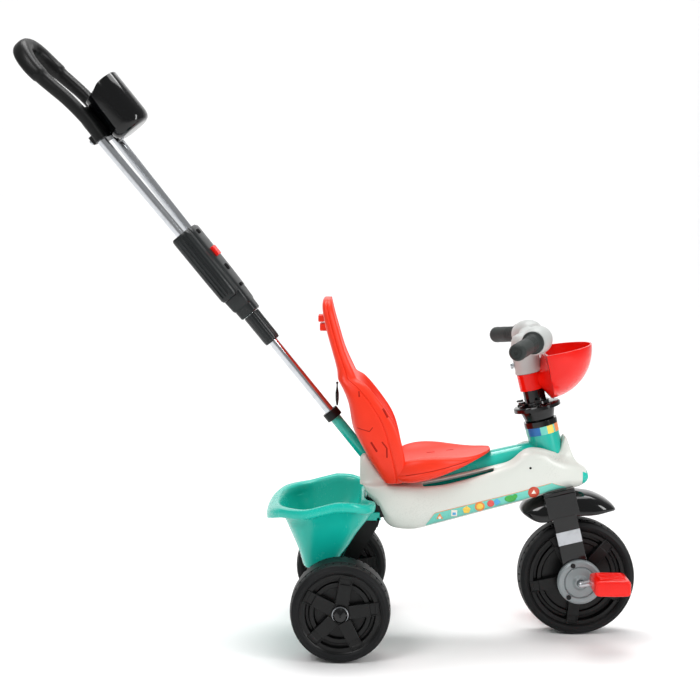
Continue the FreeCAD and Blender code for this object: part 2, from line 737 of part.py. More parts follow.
base = seat_base()
back = seat_back()
base_room = Part.makeCylinder(main_radius + seat_gap, 400, rear_point - main_tube_axis * 40, main_tube_axis)
back = back.cut(socket_room)
base = base.cut(base_room).cut(outer_body).cut(back)
base = max(base.Solids, key=lambda s: s.Volume)
back = back.cut(outer_body).cut(base_room)
back = max(back.Solids, key=lambda s: s.Volume)
bolts = []
for x in (132.0, 186.0):
    low = main_tube_z(x) - main_radius / main_tube_axis.x
    bolt = joined([cylinder(3.0, 56, (x, 0, low - 1)), cylinder(6.0, 4, (x, 0, low - 6))])
    bolts.append(bolt)
parts["seat_bolts"] = Part.makeCompound(bolts)
base = base.cut(parts["seat_bolts"])
parts["main_tube"] = parts["main_tube"].cut(parts["seat_bolts"])
parts["seat_base"] = base
parts["seat_back"] = back


# ---------------------------------------------------------------- bucket
bucket_half_width = wheel_inner_y + bucket_overhang


def bucket():
    """The tipping bucket: a tapered tub with a rolled rim and two hinge knuckles."""
    def tub(grow, floor):
        stations = [
            (floor, -62, -10, bucket_floor_half), (168, -76, 16, wheel_inner_y - 14),
            (205, -94, 32, wheel_inner_y), (bucket_rim_height - 18, -104, 40, wheel_inner_y + 6)]
        wires = []
        for z, x_back, x_front, half in stations:
            x0 = x_back - grow
            x1 = x_front + grow
            y = half + grow
            corner = 22
            slope = bucket_rim_slope * (z - floor) / (bucket_rim_height - 18 - floor)
            points = [Vector(x0 + corner, -y, z), Vector(x1 - corner, -y, z), Vector(x1, -y + corner, z),
                      Vector(x1, y - corner, z), Vector(x1 - corner, y, z), Vector(x0 + corner, y, z),
                      Vector(x0, y - corner, z), Vector(x0, -y + corner, z)]
            points = [Vector(p.x, p.y, p.z + slope * (p.x - rim_middle)) for p in points]
            wires.append(Part.makePolygon(points + points[:1]))
        return Part.makeLoft(wires, True, True)
    rim_middle = -40.0
    outer = tub(0, bucket_floor)
    inner = tub(-bucket_wall, bucket_floor + bucket_wall)
    top = bucket_rim_height
    rim = box((-124, -bucket_half_width, top - 19), (42, bucket_half_width, top - 9))
    rim = rim.makeFillet(30, [e for e in rim.Edges if e.Length < 11 and e.Vertexes[0].X == e.Vertexes[1].X])
    rim.rotate(Vector(rim_middle, 0, top - 14), Vector(0, 1, 0), -math.degrees(math.atan(bucket_rim_slope)))
    rim_hole = box((-96, -wheel_inner_y, top - 40), (34, wheel_inner_y, top + 5))
    shell = joined([outer.cut(inner), rim.cut(outer).cut(rim_hole)])
    shell = shell.cut(inner)
    for sign in (-1, 1):
        y0 = sign * 66 - 7
        lug = side_plate([(-12, bucket_floor + 1), (-10, hinge_z - 6), (2, hinge_z - 6), (4, bucket_floor + 1)],
                         y0, y0 + 14)
        shell = joined([shell, lug])
        hook = side_plate([(26, 203), (64, 203), (66, 206), (66, 214), (26, 214)],
                          sign * hook_y - 2.5, sign * hook_y + 2.5)
        shell = joined([shell, hook.cut(inner)])
    return shell.cut(cylinder_y(hinge_r + running, -200, 200, hinge_x, hinge_z))


parts["bucket"] = bucket()
hinge_pin = cylinder_y(hinge_r, -74, 74, hinge_x, hinge_z)
parts["bucket_hinge_pin"] = hinge_pin
ears = []
for sign in (-1, 1):
    y0 = min(sign * 54, sign * 58)
    ears.append(side_plate([(-10, 96), (6, 96), (6, hinge_z + 7), (-10, hinge_z + 7)], y0, y0 + 4))
parts["rear_bracket"] = joined([parts["rear_bracket"]] + ears)
parts["rear_bracket"] = parts["rear_bracket"].cut(hinge_pin)

# ---------------------------------------------------------------- push bar
collar = tube(collar_dia / 2, lower_tube_dia / 2 + slip, collar_length, (0, 0, -collar_length / 2))
parts["bar_collar"] = on_bar(collar)
lever = turned([(0, 0), (1.4, 0), (2.8, 10), (3.0, 20), (1.2, 32), (1.2, 36), (2.0, 37), (2.0, 39), (0, 40)])
tilt = math.radians(bar_tilt)
lever_base = collar_length / 2 * math.cos(tilt) + collar_dia / 2 * math.sin(tilt) + seat_gap
lever.translate(Vector(collar_x + 8, 0, collar_height + lever_base))
parts["collar_lever"] = lever

lower_tube_low = -110.0
lower_tube = tube(lower_tube_dia / 2, lower_tube_dia / 2 - 1.2, coupling_end - 60 - lower_tube_low,
                  (0, 0, lower_tube_low))
parts["lower_tube"] = on_bar(lower_tube)
sleeve_bore = lower_tube_dia / 2 + running
sleeve = turned([(sleeve_bore, sleeve_start), (13, sleeve_start), (14.4, sleeve_start + 6),
                 (14.4, coupling_start - 1), (sleeve_bore, coupling_start - 1)])
parts["lower_sleeve"] = on_bar(sleeve, bar_turn)


def twin_centre(station):
    """Half the distance between the twin tubes at a station along the bar."""
    share = (station - coupling_end) / (loop_start - coupling_end)
    return (twin_spacing_low + share * (twin_spacing_high - twin_spacing_low)) / 2


button_low = coupling_end - 65.0
button_high = button_low + 18.0
twin_low_station = coupling_end - 40.0
twin_high_station = loop_start + 34.0


def twin_axis(sign):
    low = Vector(0, sign * twin_centre(twin_low_station), twin_low_station)
    high = Vector(0, sign * twin_centre(twin_high_station), twin_high_station)
    return low, high - low


def twin_tube(sign, radius, inner, extra=0.0):
    low, axis = twin_axis(sign)
    unit = Vector(axis)
    unit.normalize()
    start = low - unit * extra
    outer = Part.makeCylinder(radius, axis.Length + 2 * extra, start, unit)
    if inner:
        outer = outer.cut(Part.makeCylinder(inner, axis.Length + 2 * extra, start, unit))
    return outer


def coupling():
    """The housing that joins the lower tube to the twin upper tubes."""
    half_y = twin_spacing_low / 2 + 12
    low = coupling_start
    high = coupling_end
    body = side_plate([(-15, low), (15, low), (20, low + 22), (20, high - 4), (16, high), (-16, high),
                       (-20, high - 4), (-20, low + 22)], -half_y, half_y)
    plan = Part.makePolygon([Vector(-40, y, z) for y, z in (
        (-15, low), (15, low), (half_y, low + 60), (half_y, high), (-half_y, high), (-half_y, low + 60),
        (-15, low))])
    body = body.common(Part.Face(plan).extrude(Vector(80, 0, 0)))
    body = body.cut(cylinder(lower_tube_dia / 2 + running, high, (0, 0, 0)))
    for sign in (-1, 1):
        body = body.cut(twin_tube(sign, twin_tube_dia / 2 + running, 0, 1.0))
    button_room = box((0, -8 - slip, button_low), (30, 8 + slip, button_high))
    return body.cut(button_room)


parts["coupling"] = on_bar(coupling(), bar_turn)
button = box((13.2, -8, button_low + slip), (25, 8, button_high - slip))
parts["height_button"] = on_bar(button, bar_turn)
for side, sign in (("left", 1), ("right", -1)):
    parts["upper_tube_" + side] = on_bar(twin_tube(sign, twin_tube_dia / 2, twin_tube_dia / 2 - 1.2), bar_turn)


def handle_loop():
    """The D-shaped push handle, two legs and a rounded end, leaning back a little."""
    r = loop_bar_dia / 2
    half = loop_outer_width / 2 - r
    low_half = twin_centre(loop_start) + 2
    corner = 40.0
    back = -10.0
    rise = loop_end - r
    start = Vector(0, -low_half, loop_start)
    shoulder = Vector(0, -half, loop_start + 70)
    turn_low = Vector(back * 0.5, -half, rise - corner)
    turn_high = Vector(back, -half + corner, rise)
    turn_mid = Vector(back * 0.85, -half + corner * 0.293, rise - corner * 0.293)

    def flip(p):
        return Vector(p.x, -p.y, p.z)
    path = [(start, shoulder), (shoulder, turn_low)]
    pieces = []
    for a, b in path:
        pieces.append(Part.makeCylinder(r, (b - a).Length, a, b - a))
        pieces.append(Part.makeSphere(r, b))
    pieces.append(Part.makeCylinder(r, (turn_mid - turn_low).Length, turn_low, turn_mid - turn_low))
    pieces.append(Part.makeSphere(r, turn_mid))
    pieces.append(Part.makeCylinder(r, (turn_high - turn_mid).Length, turn_mid, turn_high - turn_mid))
    pieces.append(Part.makeSphere(r, turn_high))
    pieces = pieces + [mirrored(p) for p in pieces]
    top_bar = flip(turn_high) - turn_high
    pieces.append(Part.makeCylinder(r, top_bar.Length, turn_high, top_bar))
    pieces.append(box((-9, -half, loop_start + 6), (9, half, loop_start + 34)))
    body = joined(pieces)
    for sign in (-1, 1):
        body = body.cut(twin_tube(sign, twin_tube_dia / 2 + running, 0, 0.2))
    return body


parts["push_handle"] = on_bar(handle_loop(), bar_turn)


def cup_holder():
    """An open cup with a stepped rim, clipped to the front of the handle."""
    r = cup_outer_dia / 2
    centre = loop_bar_dia / 2 + r - 3.0
    low = loop_start - 22.0
    high = low + cup_depth
    outer = turned([(0, low), (r - 12, low), (r - 4, low + 3.5), (r, low + 12), (r, high), (0, high)])
    inner = turned([(0, low + cup_wall), (r - 13, low + cup_wall), (r - cup_wall - 3, low + 7),
                    (r - cup_wall, low + 14), (r - cup_wall, high + 1), (0, high + 1)])
    cup = outer.cut(inner)
    cup.translate(Vector(centre, 0, 0))
    rim_cut = box((-200, -100, high), (200, 100, high + 60))
    rim_cut.rotate(Vector(centre + r, 0, high), Vector(0, 1, 0), -7)
    cup = cup.cut(rim_cut)
    clip = box((9 + seat_gap, -14, loop_start + 8), (centre - r + 4, 14, loop_start + 32))
    clip = clip.cut(cylinder(r - 1, 200, (centre, 0, loop_start - 50)))
    return joined([cup, clip])


parts["cup_holder"] = on_bar(cup_holder(), bar_turn)
screws = []
for z in (loop_start + 14, loop_start + 26):
    screws.append(cylinder(2.5, 12, (-11.5, 0, z), (1, 0, 0)))
parts["cup_screws"] = on_bar(Part.makeCompound(screws), bar_turn)
parts["push_handle"] = parts["push_handle"].cut(parts["cup_screws"])

# ---------------------------------------------------------------- place and write
rear_end = min(shape.BoundBox.XMin for shape in parts.values())
front_end = wheelbase + front_wheel_radius
middle = (rear_end + front_end) / 2
os.makedirs("parts", exist_ok=True)
for name, shape in parts.items():
    placed = shape.copy()
    placed.translate(Vector(-middle, 0, 0))
    placed.exportStep("parts/" + name + ".step")
print("shift along X:", -middle)
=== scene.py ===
import json
import math
from bisect import bisect_right

import bmesh
import bpy
from mathutils import Matrix, Vector
from mathutils.bvhtree import BVHTree


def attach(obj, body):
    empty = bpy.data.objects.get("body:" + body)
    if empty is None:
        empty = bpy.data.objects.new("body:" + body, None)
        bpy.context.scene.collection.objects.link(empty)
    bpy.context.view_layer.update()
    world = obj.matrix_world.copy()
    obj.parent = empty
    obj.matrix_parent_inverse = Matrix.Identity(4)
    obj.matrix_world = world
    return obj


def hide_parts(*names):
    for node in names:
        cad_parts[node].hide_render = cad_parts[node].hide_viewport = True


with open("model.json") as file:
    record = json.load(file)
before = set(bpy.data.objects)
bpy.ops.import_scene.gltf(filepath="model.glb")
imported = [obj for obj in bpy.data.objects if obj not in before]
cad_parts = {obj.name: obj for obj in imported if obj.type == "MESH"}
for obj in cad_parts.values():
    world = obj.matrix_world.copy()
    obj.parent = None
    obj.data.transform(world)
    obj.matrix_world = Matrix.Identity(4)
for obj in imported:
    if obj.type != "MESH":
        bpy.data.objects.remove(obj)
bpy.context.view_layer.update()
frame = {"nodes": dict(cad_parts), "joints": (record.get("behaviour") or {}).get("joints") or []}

# A child's tricycle with a parent's push bar: the finished look of every piece.
# Each piece is shaped in millimetres in the frame that it is made in, then put in its place.

MM = 0.001
nodes = frame["nodes"]
joints = {joint["name"]: joint for joint in frame["joints"]}


# ------------------------------------------------------------------ places
def made_at(origin, up=(0, 0, 1)):
    """A maker's frame in millimetres: X forward, Y to the rider's left, Z along up."""
    up = Vector(up).normalized()
    left = Vector((0, 1, 0))
    turn = Matrix((left.cross(up), left, up)).transposed().to_4x4()
    return Matrix.Translation(Vector(origin)) @ turn @ Matrix.Scale(MM, 4)


rear_axle = Vector(joints["rear_wheel_left_spin"]["pos_m"])
front_axle = Vector(joints["front_wheel_spin"]["pos_m"])
TRIKE = made_at((rear_axle.x, 0, 0))
STEER = made_at((front_axle.x, 0, front_axle.z), joints["steering_turn"]["axis"])
BAR = made_at(joints["bar_turn"]["pos_m"], joints["bar_turn"]["axis"])
BAR_REST_TURN = math.radians(-12.5)
PUSH = BAR @ Matrix.Rotation(BAR_REST_TURN, 4, "Z")
LAY = Matrix.Rotation(math.radians(-90), 4, "X")
AS_MADE = Matrix.Scale(MM, 4)
HEAD_ANGLE = math.radians(13.3)
WHEEL_R, WHEEL_HALF, WHEEL_Y = 80.0, 34.0, 156.0
FRONT_R, FRONT_HALF = 97.5, 28.0


# ------------------------------------------------------------------ shaping
def flow(stations, at):
    """The values at a place on a smooth line through stations of (place, value, ...)."""
    places = [s[0] for s in stations]
    if at <= places[0]:
        return list(stations[0][1:])
    if at >= places[-1]:
        return list(stations[-1][1:])
    k = bisect_right(places, at) - 1
    span = places[k + 1] - places[k]
    t = (at - places[k]) / span
    values = []
    for n in range(1, len(stations[0])):
        rise = [(b[n] - a[n]) / (b[0] - a[0]) for a, b in zip(stations, stations[1:])]

        def slope(i):
            if i == 0 or i == len(rise):
                return rise[min(i, len(rise) - 1)]
            before, after = rise[i - 1], rise[i]
            return 0.0 if before * after <= 0 else 2 * before * after / (before + after)

        y0, y1 = stations[k][n], stations[k + 1][n]
        m0, m1 = slope(k) * span, slope(k + 1) * span
        values.append((2 * t**3 - 3 * t**2 + 1) * y0 + (t**3 - 2 * t**2 + t) * m0
                      + (3 * t**2 - 2 * t**3) * y1 + (t**3 - t**2) * m1)
    return values


def spaced(low, high, count):
    return [low + (high - low) * k / (count - 1) for k in range(count)]


def loft(bm, rings, closed=True, caps=True):
    """A skin through rings of the same number of points."""
    around, along = len(rings[0]), len(rings) - 1
    columns = around if closed else around - 1
    made = bmesh.ops.create_grid(bm, x_segments=columns, y_segments=along, size=1.0)["verts"]
    ends = {0: {}, along: {}}
    for v in made:
        i = round((v.co.x + 1) / 2 * columns)
        j = round((v.co.y + 1) / 2 * along)
        v.co = rings[j][i % around]
        if j in ends:
            ends[j][i] = v
    if caps:
        for ring in ends.values():
            bm.faces.new([ring[i] for i in range(around)])
    return made


def turned(bm, profile, steps, closed=False):
    """A turned shape from (radius, height) corners, round Z."""
    verts = [bm.verts.new((r, 0, h)) for r, h in profile]
    pairs = list(zip(verts, verts[1:])) + ([(verts[-1], verts[0])] if closed else [])
    edges = [bm.edges.new(pair) for pair in pairs]
    bmesh.ops.spin(bm, geom=verts + edges, cent=(0, 0, 0), axis=(0, 0, 1), dvec=(0, 0, 0),
                   angle=math.tau, steps=steps, use_merge=True, use_duplicate=False)


def block(bm, low, high):
    """A box between two corners."""
    low, high = Vector(low), Vector(high)
    made = bmesh.ops.create_cube(bm, size=1.0)["verts"]
    stretch = Matrix.Translation((low + high) / 2) @ Matrix.Diagonal((*(high - low), 1))
    bmesh.ops.transform(bm, matrix=stretch, verts=made)


def rounded(count, half_x, half_y, power, z=0.0, centre=(0.0, 0.0)):
    """Points round a soft-cornered rectangle."""
    points = []
    for k in range(count):
        c, s = math.cos(math.tau * k / count), math.sin(math.tau * k / count)
        points.append(Vector((centre[0] + half_x * math.copysign(abs(c) ** (2 / power), c),
                              centre[1] + half_y * math.copysign(abs(s) ** (2 / power), s), z)))
    return points


def both_sides(half):
    """A closed ring from its half, whose first and last points lie in the middle plane."""
    return half + [Vector((p.x, -p.y, p.z)) for p in reversed(half[1:-1])]


def piece(name, bm, place, finishes, body, stands_for=(), wall=0.0, edge=0.0, rounds=0,
          sharp=35.0, offset=-1.0):
    """A finished piece in its place, riding on its body."""
    bmesh.ops.remove_doubles(bm, verts=bm.verts, dist=0.02)
    bmesh.ops.transform(bm, matrix=place, verts=bm.verts)
    bmesh.ops.recalc_face_normals(bm, faces=bm.faces)
    mesh = bpy.data.meshes.new(name)
    bm.to_mesh(mesh)
    bm.free()
    for finish in finishes if isinstance(finishes, list) else [finishes]:
        mesh.materials.append(finish)
    mesh.shade_smooth()
    if not rounds:
        mesh.set_sharp_from_angle(angle=math.radians(sharp))
    obj = bpy.data.objects.new(name, mesh)
    bpy.context.scene.collection.objects.link(obj)
    if wall:
        solid = obj.modifiers.new("wall", "SOLIDIFY")
        solid.thickness = wall * MM
        solid.offset = offset
    if edge:
        softened(obj, edge)
    if rounds:
        smooth = obj.modifiers.new("rounds", "SUBSURF")
        smooth.levels = smooth.render_levels = rounds
    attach(obj, body)
    if stands_for:
        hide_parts(*stands_for)
    return obj


def softened(obj, width):
    """Broken edges all over a hard piece."""
    soft = obj.modifiers.new("edge", "BEVEL")
    soft.width = width * MM
    soft.segments = 2
    soft.limit_method = "ANGLE"
    soft.angle_limit = math.radians(35)
    soft.profile = 0.5


def refined(name, node, finish, body, edge):
    """The CAD piece with its edges broken."""
    bm = bmesh.new()
    bm.from_mesh(nodes[node].data)
    bmesh.ops.remove_doubles(bm, verts=bm.verts, dist=2e-6)
    bmesh.ops.dissolve_limit(bm, angle_limit=math.radians(0.4), verts=bm.verts, edges=bm.edges)
    bmesh.ops.transform(bm, matrix=Matrix.Scale(1 / MM, 4), verts=bm.verts)
    piece(name, bm, AS_MADE, finish, body, [node], edge=edge)


# ------------------------------------------------------------------ shader maths
class Amount:
    """A number on the surface that takes part in sums."""

    def __init__(self, paint, socket):
        self.paint = paint
        self.socket = socket

    def _sum(self, operation, other):
        return self.paint.make("ShaderNodeMath", {"operation": operation}, {0: self, 1: other})

    def __add__(self, other):
        return self._sum("ADD", other)

    def __mul__(self, other):
        return self._sum("MULTIPLY", other)

    __radd__ = __add__
    __rmul__ = __mul__


class Paint:
    """A material and the nodes that make its surface."""

    def __init__(self, name, **constants):
        self.material = bpy.data.materials.new(name)
        self.material.use_nodes = True
        self.tree = self.material.node_tree
        self.shader = self.tree.nodes["Principled BSDF"]
        for socket, value in constants.items():
            self.shader.inputs[socket.replace("_", " ")].default_value = value
        self.object_place = self.node("ShaderNodeTexCoord").outputs["Object"]

    def node(self, kind, settings=None, inputs=None):
        made = self.tree.nodes.new(kind)
        for setting, value in (settings or {}).items():
            setattr(made, setting, value)
        for key, value in (inputs or {}).items():
            value = value.socket if isinstance(value, Amount) else value
            if isinstance(value, bpy.types.NodeSocket):
                self.tree.links.new(value, made.inputs[key])
            else:
                made.inputs[key].default_value = value
        return made

    def make(self, kind, settings=None, inputs=None, output=0):
        return Amount(self, self.node(kind, settings, inputs).outputs[output])

    def stretched(self, scale):
        """Object coordinates drawn out by a scale on each axis."""
        return self.make("ShaderNodeMapping", None, {"Vector": self.object_place, "Scale": scale})

    def noise(self, scale, detail=3.0, roughness=0.55, along=None):
        place = self.stretched(along) if along else self.object_place
        return self.make("ShaderNodeTexNoise", None,
                         {"Vector": place, "Scale": scale, "Detail": detail, "Roughness": roughness})

    def ramp(self, amount, low, high):
        """0 below low and 1 above high."""
        return self.make("ShaderNodeMapRange", None,
                         {"Value": amount, "From Min": low, "From Max": high})

    def tint(self, mask, first, second):
        """One colour where mask is 0 and the other where it is 1."""
        settings = {"data_type": "RGBA"}
        inputs = {0: mask, 6: (*first, 1) if isinstance(first, tuple) else first, 7: (*second, 1)}
        return self.make("ShaderNodeMix", settings, inputs, 2)

    def set(self, socket, value):
        self.tree.links.new(value.socket, self.shader.inputs[socket])

    def bump(self, height, strength, distance):
        made = self.make("ShaderNodeBump", None,
                         {"Height": height, "Strength": strength, "Distance": distance})
        self.set("Normal", made)


def srgb(*levels):
    """A colour given in 0 to 255 steps, for the shader."""
    return tuple(c / 12.92 if c <= 0.04045 else ((c + 0.055) / 1.055) ** 2.4
                 for c in (level / 255 for level in levels))


def shade(colour, factor):
    return tuple(min(1.0, c * factor) for c in colour)


def moulded(name, colour, rough, grain=0.12, mottle=0.1, coat=0.0, scratch=0.25, shine=0.5,
            **constants):
    """Moulded plastic: faint flow marks, a fine texture, rubbed spots and hairline scratches."""
    paint = Paint(name, IOR=1.48, Coat_Weight=coat, Coat_Roughness=0.08, Specular_IOR_Level=shine,
                  **constants)
    clouds = paint.ramp(paint.noise(7.0, 4.0), 0.35, 0.68)
    specks = paint.ramp(paint.noise(420.0, 2.0), 0.3, 0.75)
    hairs = paint.ramp(paint.noise(160.0, 2.0, 0.7, (1.0, 1.0, 0.05)), 0.66, 0.78)
    dust = paint.ramp(paint.noise(26.0, 5.0, 0.7), 0.62, 0.9)
    base = paint.tint(clouds, shade(colour, 1 - mottle), shade(colour, 1 + mottle * 0.6))
    base = paint.tint(specks * mottle * 0.5, base.socket, shade(colour, 0.75))
    base = paint.tint(dust * 0.1, base.socket, shade(colour, 1.25))
    paint.set("Base Color", base)
    wear = clouds * 0.06 + specks * 0.05 + hairs * scratch * 0.3 + dust * 0.08
    paint.set("Roughness", wear + (rough - 0.05))
    paint.bump(specks * grain + hairs * 0.25 * scratch, 0.35, 0.0004)
    return paint.material


def coated_steel(name, colour, rough):
    """Powder-coated steel tube with a slight orange-peel skin."""
    paint = Paint(name, IOR=1.5, Coat_Weight=0.6, Coat_Roughness=0.06)
    peel = paint.noise(220.0, 1.0, 0.4)
    clouds = paint.ramp(paint.noise(9.0, 4.0), 0.3, 0.7)
    nicks = paint.ramp(paint.noise(95.0, 3.0, 0.8), 0.74, 0.8)
    base = paint.tint(clouds, shade(colour, 0.93), shade(colour, 1.04))
    paint.set("Base Color", paint.tint(nicks * 0.35, base.socket, shade(colour, 0.6)))
    paint.set("Roughness", clouds * 0.08 + nicks * 0.2 + rough)
    paint.bump(peel, 0.12, 0.0003)
    return paint.material


def bare_metal(name, colour, rough, drawn=(1.0, 1.0, 1.0), lines=0.3):
    """Plated or drawn steel, with fine lines along the way it was drawn and dull spots."""
    paint = Paint(name, Metallic=1.0)
    grooves = paint.noise(900.0, 2.0, 0.6, drawn)
    spots = paint.ramp(paint.noise(60.0, 4.0, 0.7), 0.5, 0.8)
    paint.set("Base Color", paint.tint(spots, colour, shade(colour, 0.78)))
    paint.set("Roughness", grooves * lines * 0.25 + spots * 0.12 + rough)
    paint.bump(grooves, 0.12 * lines, 0.0002)
    return paint.material


def rubber(name, colour, rough):
    """Tyre and grip compound: matt, with a pebbled skin and dusty high spots."""
    paint = Paint(name, IOR=1.45, Specular_IOR_Level=0.22)
    pebble = paint.noise(520.0, 3.0, 0.6)
    dusty = paint.ramp(paint.noise(16.0, 5.0, 0.65), 0.42, 0.75)
    scuff = paint.ramp(paint.noise(70.0, 4.0, 0.75, (1.0, 0.25, 1.0)), 0.6, 0.8)
    base = paint.tint(dusty, colour, shade(colour, 1.35))
    paint.set("Base Color", paint.tint(scuff * 0.2, base.socket, shade(colour, 2.3)))
    paint.set("Roughness", dusty * 0.1 + scuff * 0.12 + (rough - 0.08))
    paint.bump(pebble * 0.6 + scuff * 0.4, 0.4, 0.0005)
    return paint.material


RED_ORANGE = srgb(240, 52, 22)
RED = srgb(232, 20, 8)

teal_coat = coated_steel("teal_powder_coat", srgb(0, 182, 164), 0.22)
teal_tub = moulded("teal_bucket_plastic", srgb(14, 190, 172), 0.26, 0.1, 0.06)
white_shell = moulded("off_white_shell_plastic", srgb(217, 221, 214), 0.3, 0.08, 0.03, scratch=0.15)
seat_plastic = moulded("red_orange_seat_plastic", RED_ORANGE, 0.4, 0.2, 0.06, shine=0.35)
red_gloss = moulded("red_gloss_plastic", RED, 0.2, 0.05, 0.06, coat=0.12, shine=0.3)
black_gloss = moulded("black_gloss_plastic", srgb(4, 5, 6), 0.12, 0.04, 0.2, coat=0.35, shine=0.3)
black_satin = moulded("black_satin_plastic", srgb(12, 13, 13), 0.38, 0.3, 0.2, shine=0.3)
dark_housing = moulded("dark_grey_housing_plastic", srgb(24, 28, 29), 0.3, 0.3, 0.15, shine=0.4)
wheel_plastic = moulded("black_wheel_plastic", srgb(9, 10, 10), 0.34, 0.25, 0.2, shine=0.3)
tread = rubber("black_tread", srgb(19, 20, 21), 0.55)
grip_rubber = rubber("grey_grip_rubber", srgb(48, 52, 51), 0.6)
grey_plastic = moulded("light_grey_plastic", srgb(182, 185, 183), 0.4, 0.2, 0.05)
hub_silver = moulded("hub_silver_plastic", srgb(140, 147, 149), 0.34, 0.1, 0.06, Metallic=0.35)
zinc = bare_metal("zinc_plated_steel", srgb(190, 194, 198), 0.26)
chrome = bare_metal("chromed_tube", srgb(205, 208, 212), 0.13, (1.0, 1.0, 0.2), 0.1)
nylon = moulded("natural_nylon", srgb(215, 212, 200), 0.45)
# Near-black for patches painted where holes and slots fall into shade: painted shade.
shadow_black = moulded("painted_shade_black", srgb(8, 8, 9), 0.7, shine=0.1)
# A darker red for thin strips painted where the seat's slots and creases fall into shade: painted shade.
painted_slot_shade_red = moulded("seat_slot_painted_shade_red", srgb(168, 26, 12), 0.6, shine=0.15)


# ------------------------------------------------------------------ wheels
def tyre(bm, radius, half, depth, notches):
    """A hollow-faced tread ring with shoulder notches and two fine lines round the crown."""
    inner = radius - depth
    profile = [(inner, -half + 2.4), (inner + 2, -half + 0.6), (radius - 8.5, -half),
               (radius - 6, -half + 1.4), (radius - 3, -half + 2.6), (radius - 1.4, -half + 7),
               (radius - 0.7, -half + 16), (radius - 1.6, -half + 16.6), (radius - 1.6, -half + 18),
               (radius - 0.3, -half + 18.6), (radius, -4)]
    profile += [(r, -h) for r, h in reversed(profile)]
    turned(bm, profile, notches * 4, closed=True)
    picked = []
    for f in bm.faces:
        c = f.calc_center_median()
        r = math.hypot(c.x, c.y)
        step = round(math.atan2(c.y, c.x) / math.tau * notches * 4 - 0.5) % 4
        if half - 16 < abs(c.z) < half - 7 and r > radius - 3 and step == 0:
            picked.append(f)
    bmesh.ops.recalc_face_normals(bm, faces=bm.faces)
    bmesh.ops.inset_individual(bm, faces=picked, thickness=0.3, depth=-1.3)


def spoked_rim(bm, radius, half, spoke_width, first_angle, bore, steps):
    """Stepped rings, a web, a hub and five flat spokes with a pocket near the end of each."""
    (outer, face), lip, shelf, web, hub = steps
    profile = [(bore, half - 4), (hub - 2, half - 4), (hub, half - 6), (hub, web),
               (outer - 24, web), (outer - 23, shelf), (outer - 16, shelf),
               (outer - 15, shelf - 5), (outer - 10, shelf - 5), (outer - 9, lip),
               (outer - 3, lip), (outer, face)]
    profile += [(r, -h) for r, h in reversed(profile)]
    turned(bm, profile, 96, closed=True)
    reach, side = outer - 2.5, spoke_width / 2
    pocket_start = reach - 17
    for k in range(5):
        angle = first_angle + k * math.tau / 5
        spoke = bmesh.new()
        block(spoke, (hub - 5, -side, -face + 0.6), (reach, side, face - 0.6))
        bmesh.ops.bisect_plane(spoke, geom=spoke.verts[:] + spoke.edges[:] + spoke.faces[:],
                               plane_co=(pocket_start, 0, 0), plane_no=(1, 0, 0), dist=0.001)
        pockets = [f for f in spoke.faces
                   if abs(f.normal.z) > 0.9 and f.calc_center_median().x > pocket_start]
        bmesh.ops.inset_individual(spoke, faces=pockets, thickness=2.6, depth=0.0)
        bmesh.ops.inset_individual(spoke, faces=pockets, thickness=0.3, depth=-2.6)
        bmesh.ops.transform(spoke, matrix=Matrix.Rotation(-angle, 4, "Z"), verts=spoke.verts)
        merged(bm, spoke)


def merged(bm, part):
    """Adds one bmesh to another."""
    scratch = bpy.data.meshes.new("scratch")
    part.to_mesh(scratch)
    part.free()
    bm.from_mesh(scratch)
    bpy.data.meshes.remove(scratch)


def rear_wheel(side, sign):
    place = TRIKE @ Matrix.Translation((0, sign * WHEEL_Y, WHEEL_R)) @ LAY
    body = "rear_wheel_" + side
    bm = bmesh.new()
    tyre(bm, WHEEL_R, WHEEL_HALF, 15, 40)
    piece("rear_tread_" + side, bm, place, tread, body, ["rear_tyre_" + side], edge=0.35)
    bm = bmesh.new()
    spoked_rim(bm, 64.9, WHEEL_HALF, 21, math.radians(80), 9.1,
               ((64.9, 32.0), 29.5, 25.0, 17.0, 19.0))
    piece("rear_wheel_centre_" + side, bm, place, wheel_plastic, body,
          ["rear_rim_" + side], edge=0.7)


def front_wheel():
    place = STEER @ LAY
    bm = bmesh.new()
    tyre(bm, FRONT_R, FRONT_HALF, 15, 48)
    piece("front_tread", bm, place, tread, "front_wheel", ["front_tyre"], edge=0.35)
    bm = bmesh.new()
    spoked_rim(bm, 82.4, FRONT_HALF, 19, math.radians(48) - HEAD_ANGLE, 5.6,
               ((82.4, 26.0), 23.0, 17.0, 13.0, 24.0))
    piece("front_wheel_centre", bm, place, wheel_plastic, "front_wheel",
          ["front_rim"], edge=0.7)


for side, sign in (("left", 1), ("right", -1)):
    rear_wheel(side, sign)
front_wheel()


# ------------------------------------------------------------------ body shells
# Each list holds (along, height) or (along, out from the middle) points of one line of the shell.
SHELL_TOP = [(32, 301), (36, 308), (41, 310), (46, 304), (52, 295), (59, 285), (66, 274), (76, 265),
             (100, 261), (130, 264), (165, 270), (182, 273.5), (240, 287), (262, 292.5), (274, 295.5),
             (284, 300), (292, 308), (299, 316.5), (306, 320.3), (317, 321.6), (330, 320.4), (340, 317.6),
             (352, 313), (360, 310), (365, 313), (369, 327), (373.5, 338.5), (377, 334), (382.5, 317),
             (388, 303), (394, 293.5), (400, 288), (408, 283), (412, 279), (413.6, 274)]
SHELL_SHOULDER = [(32, 262), (44, 262), (66, 261), (100, 258.5), (130, 258.5), (160, 260), (200, 268.5),
                  (240, 280), (262, 286.5), (282, 294), (298, 308), (317, 313.5), (338, 309), (350, 304),
                  (362, 300), (380, 295), (392, 288.5), (402, 284), (408, 280.5), (413.6, 272)]
SHELL_BOTTOM = [(32, 292), (35, 275), (41, 246), (51, 235), (62, 223), (69, 206), (77, 193),
                (94, 186), (121, 184.5), (138, 188.5), (230, 213), (300, 231), (372, 248.6),
                (386, 249.4), (396, 251), (404, 254), (409, 257), (412.4, 260.5), (413.6, 264)]
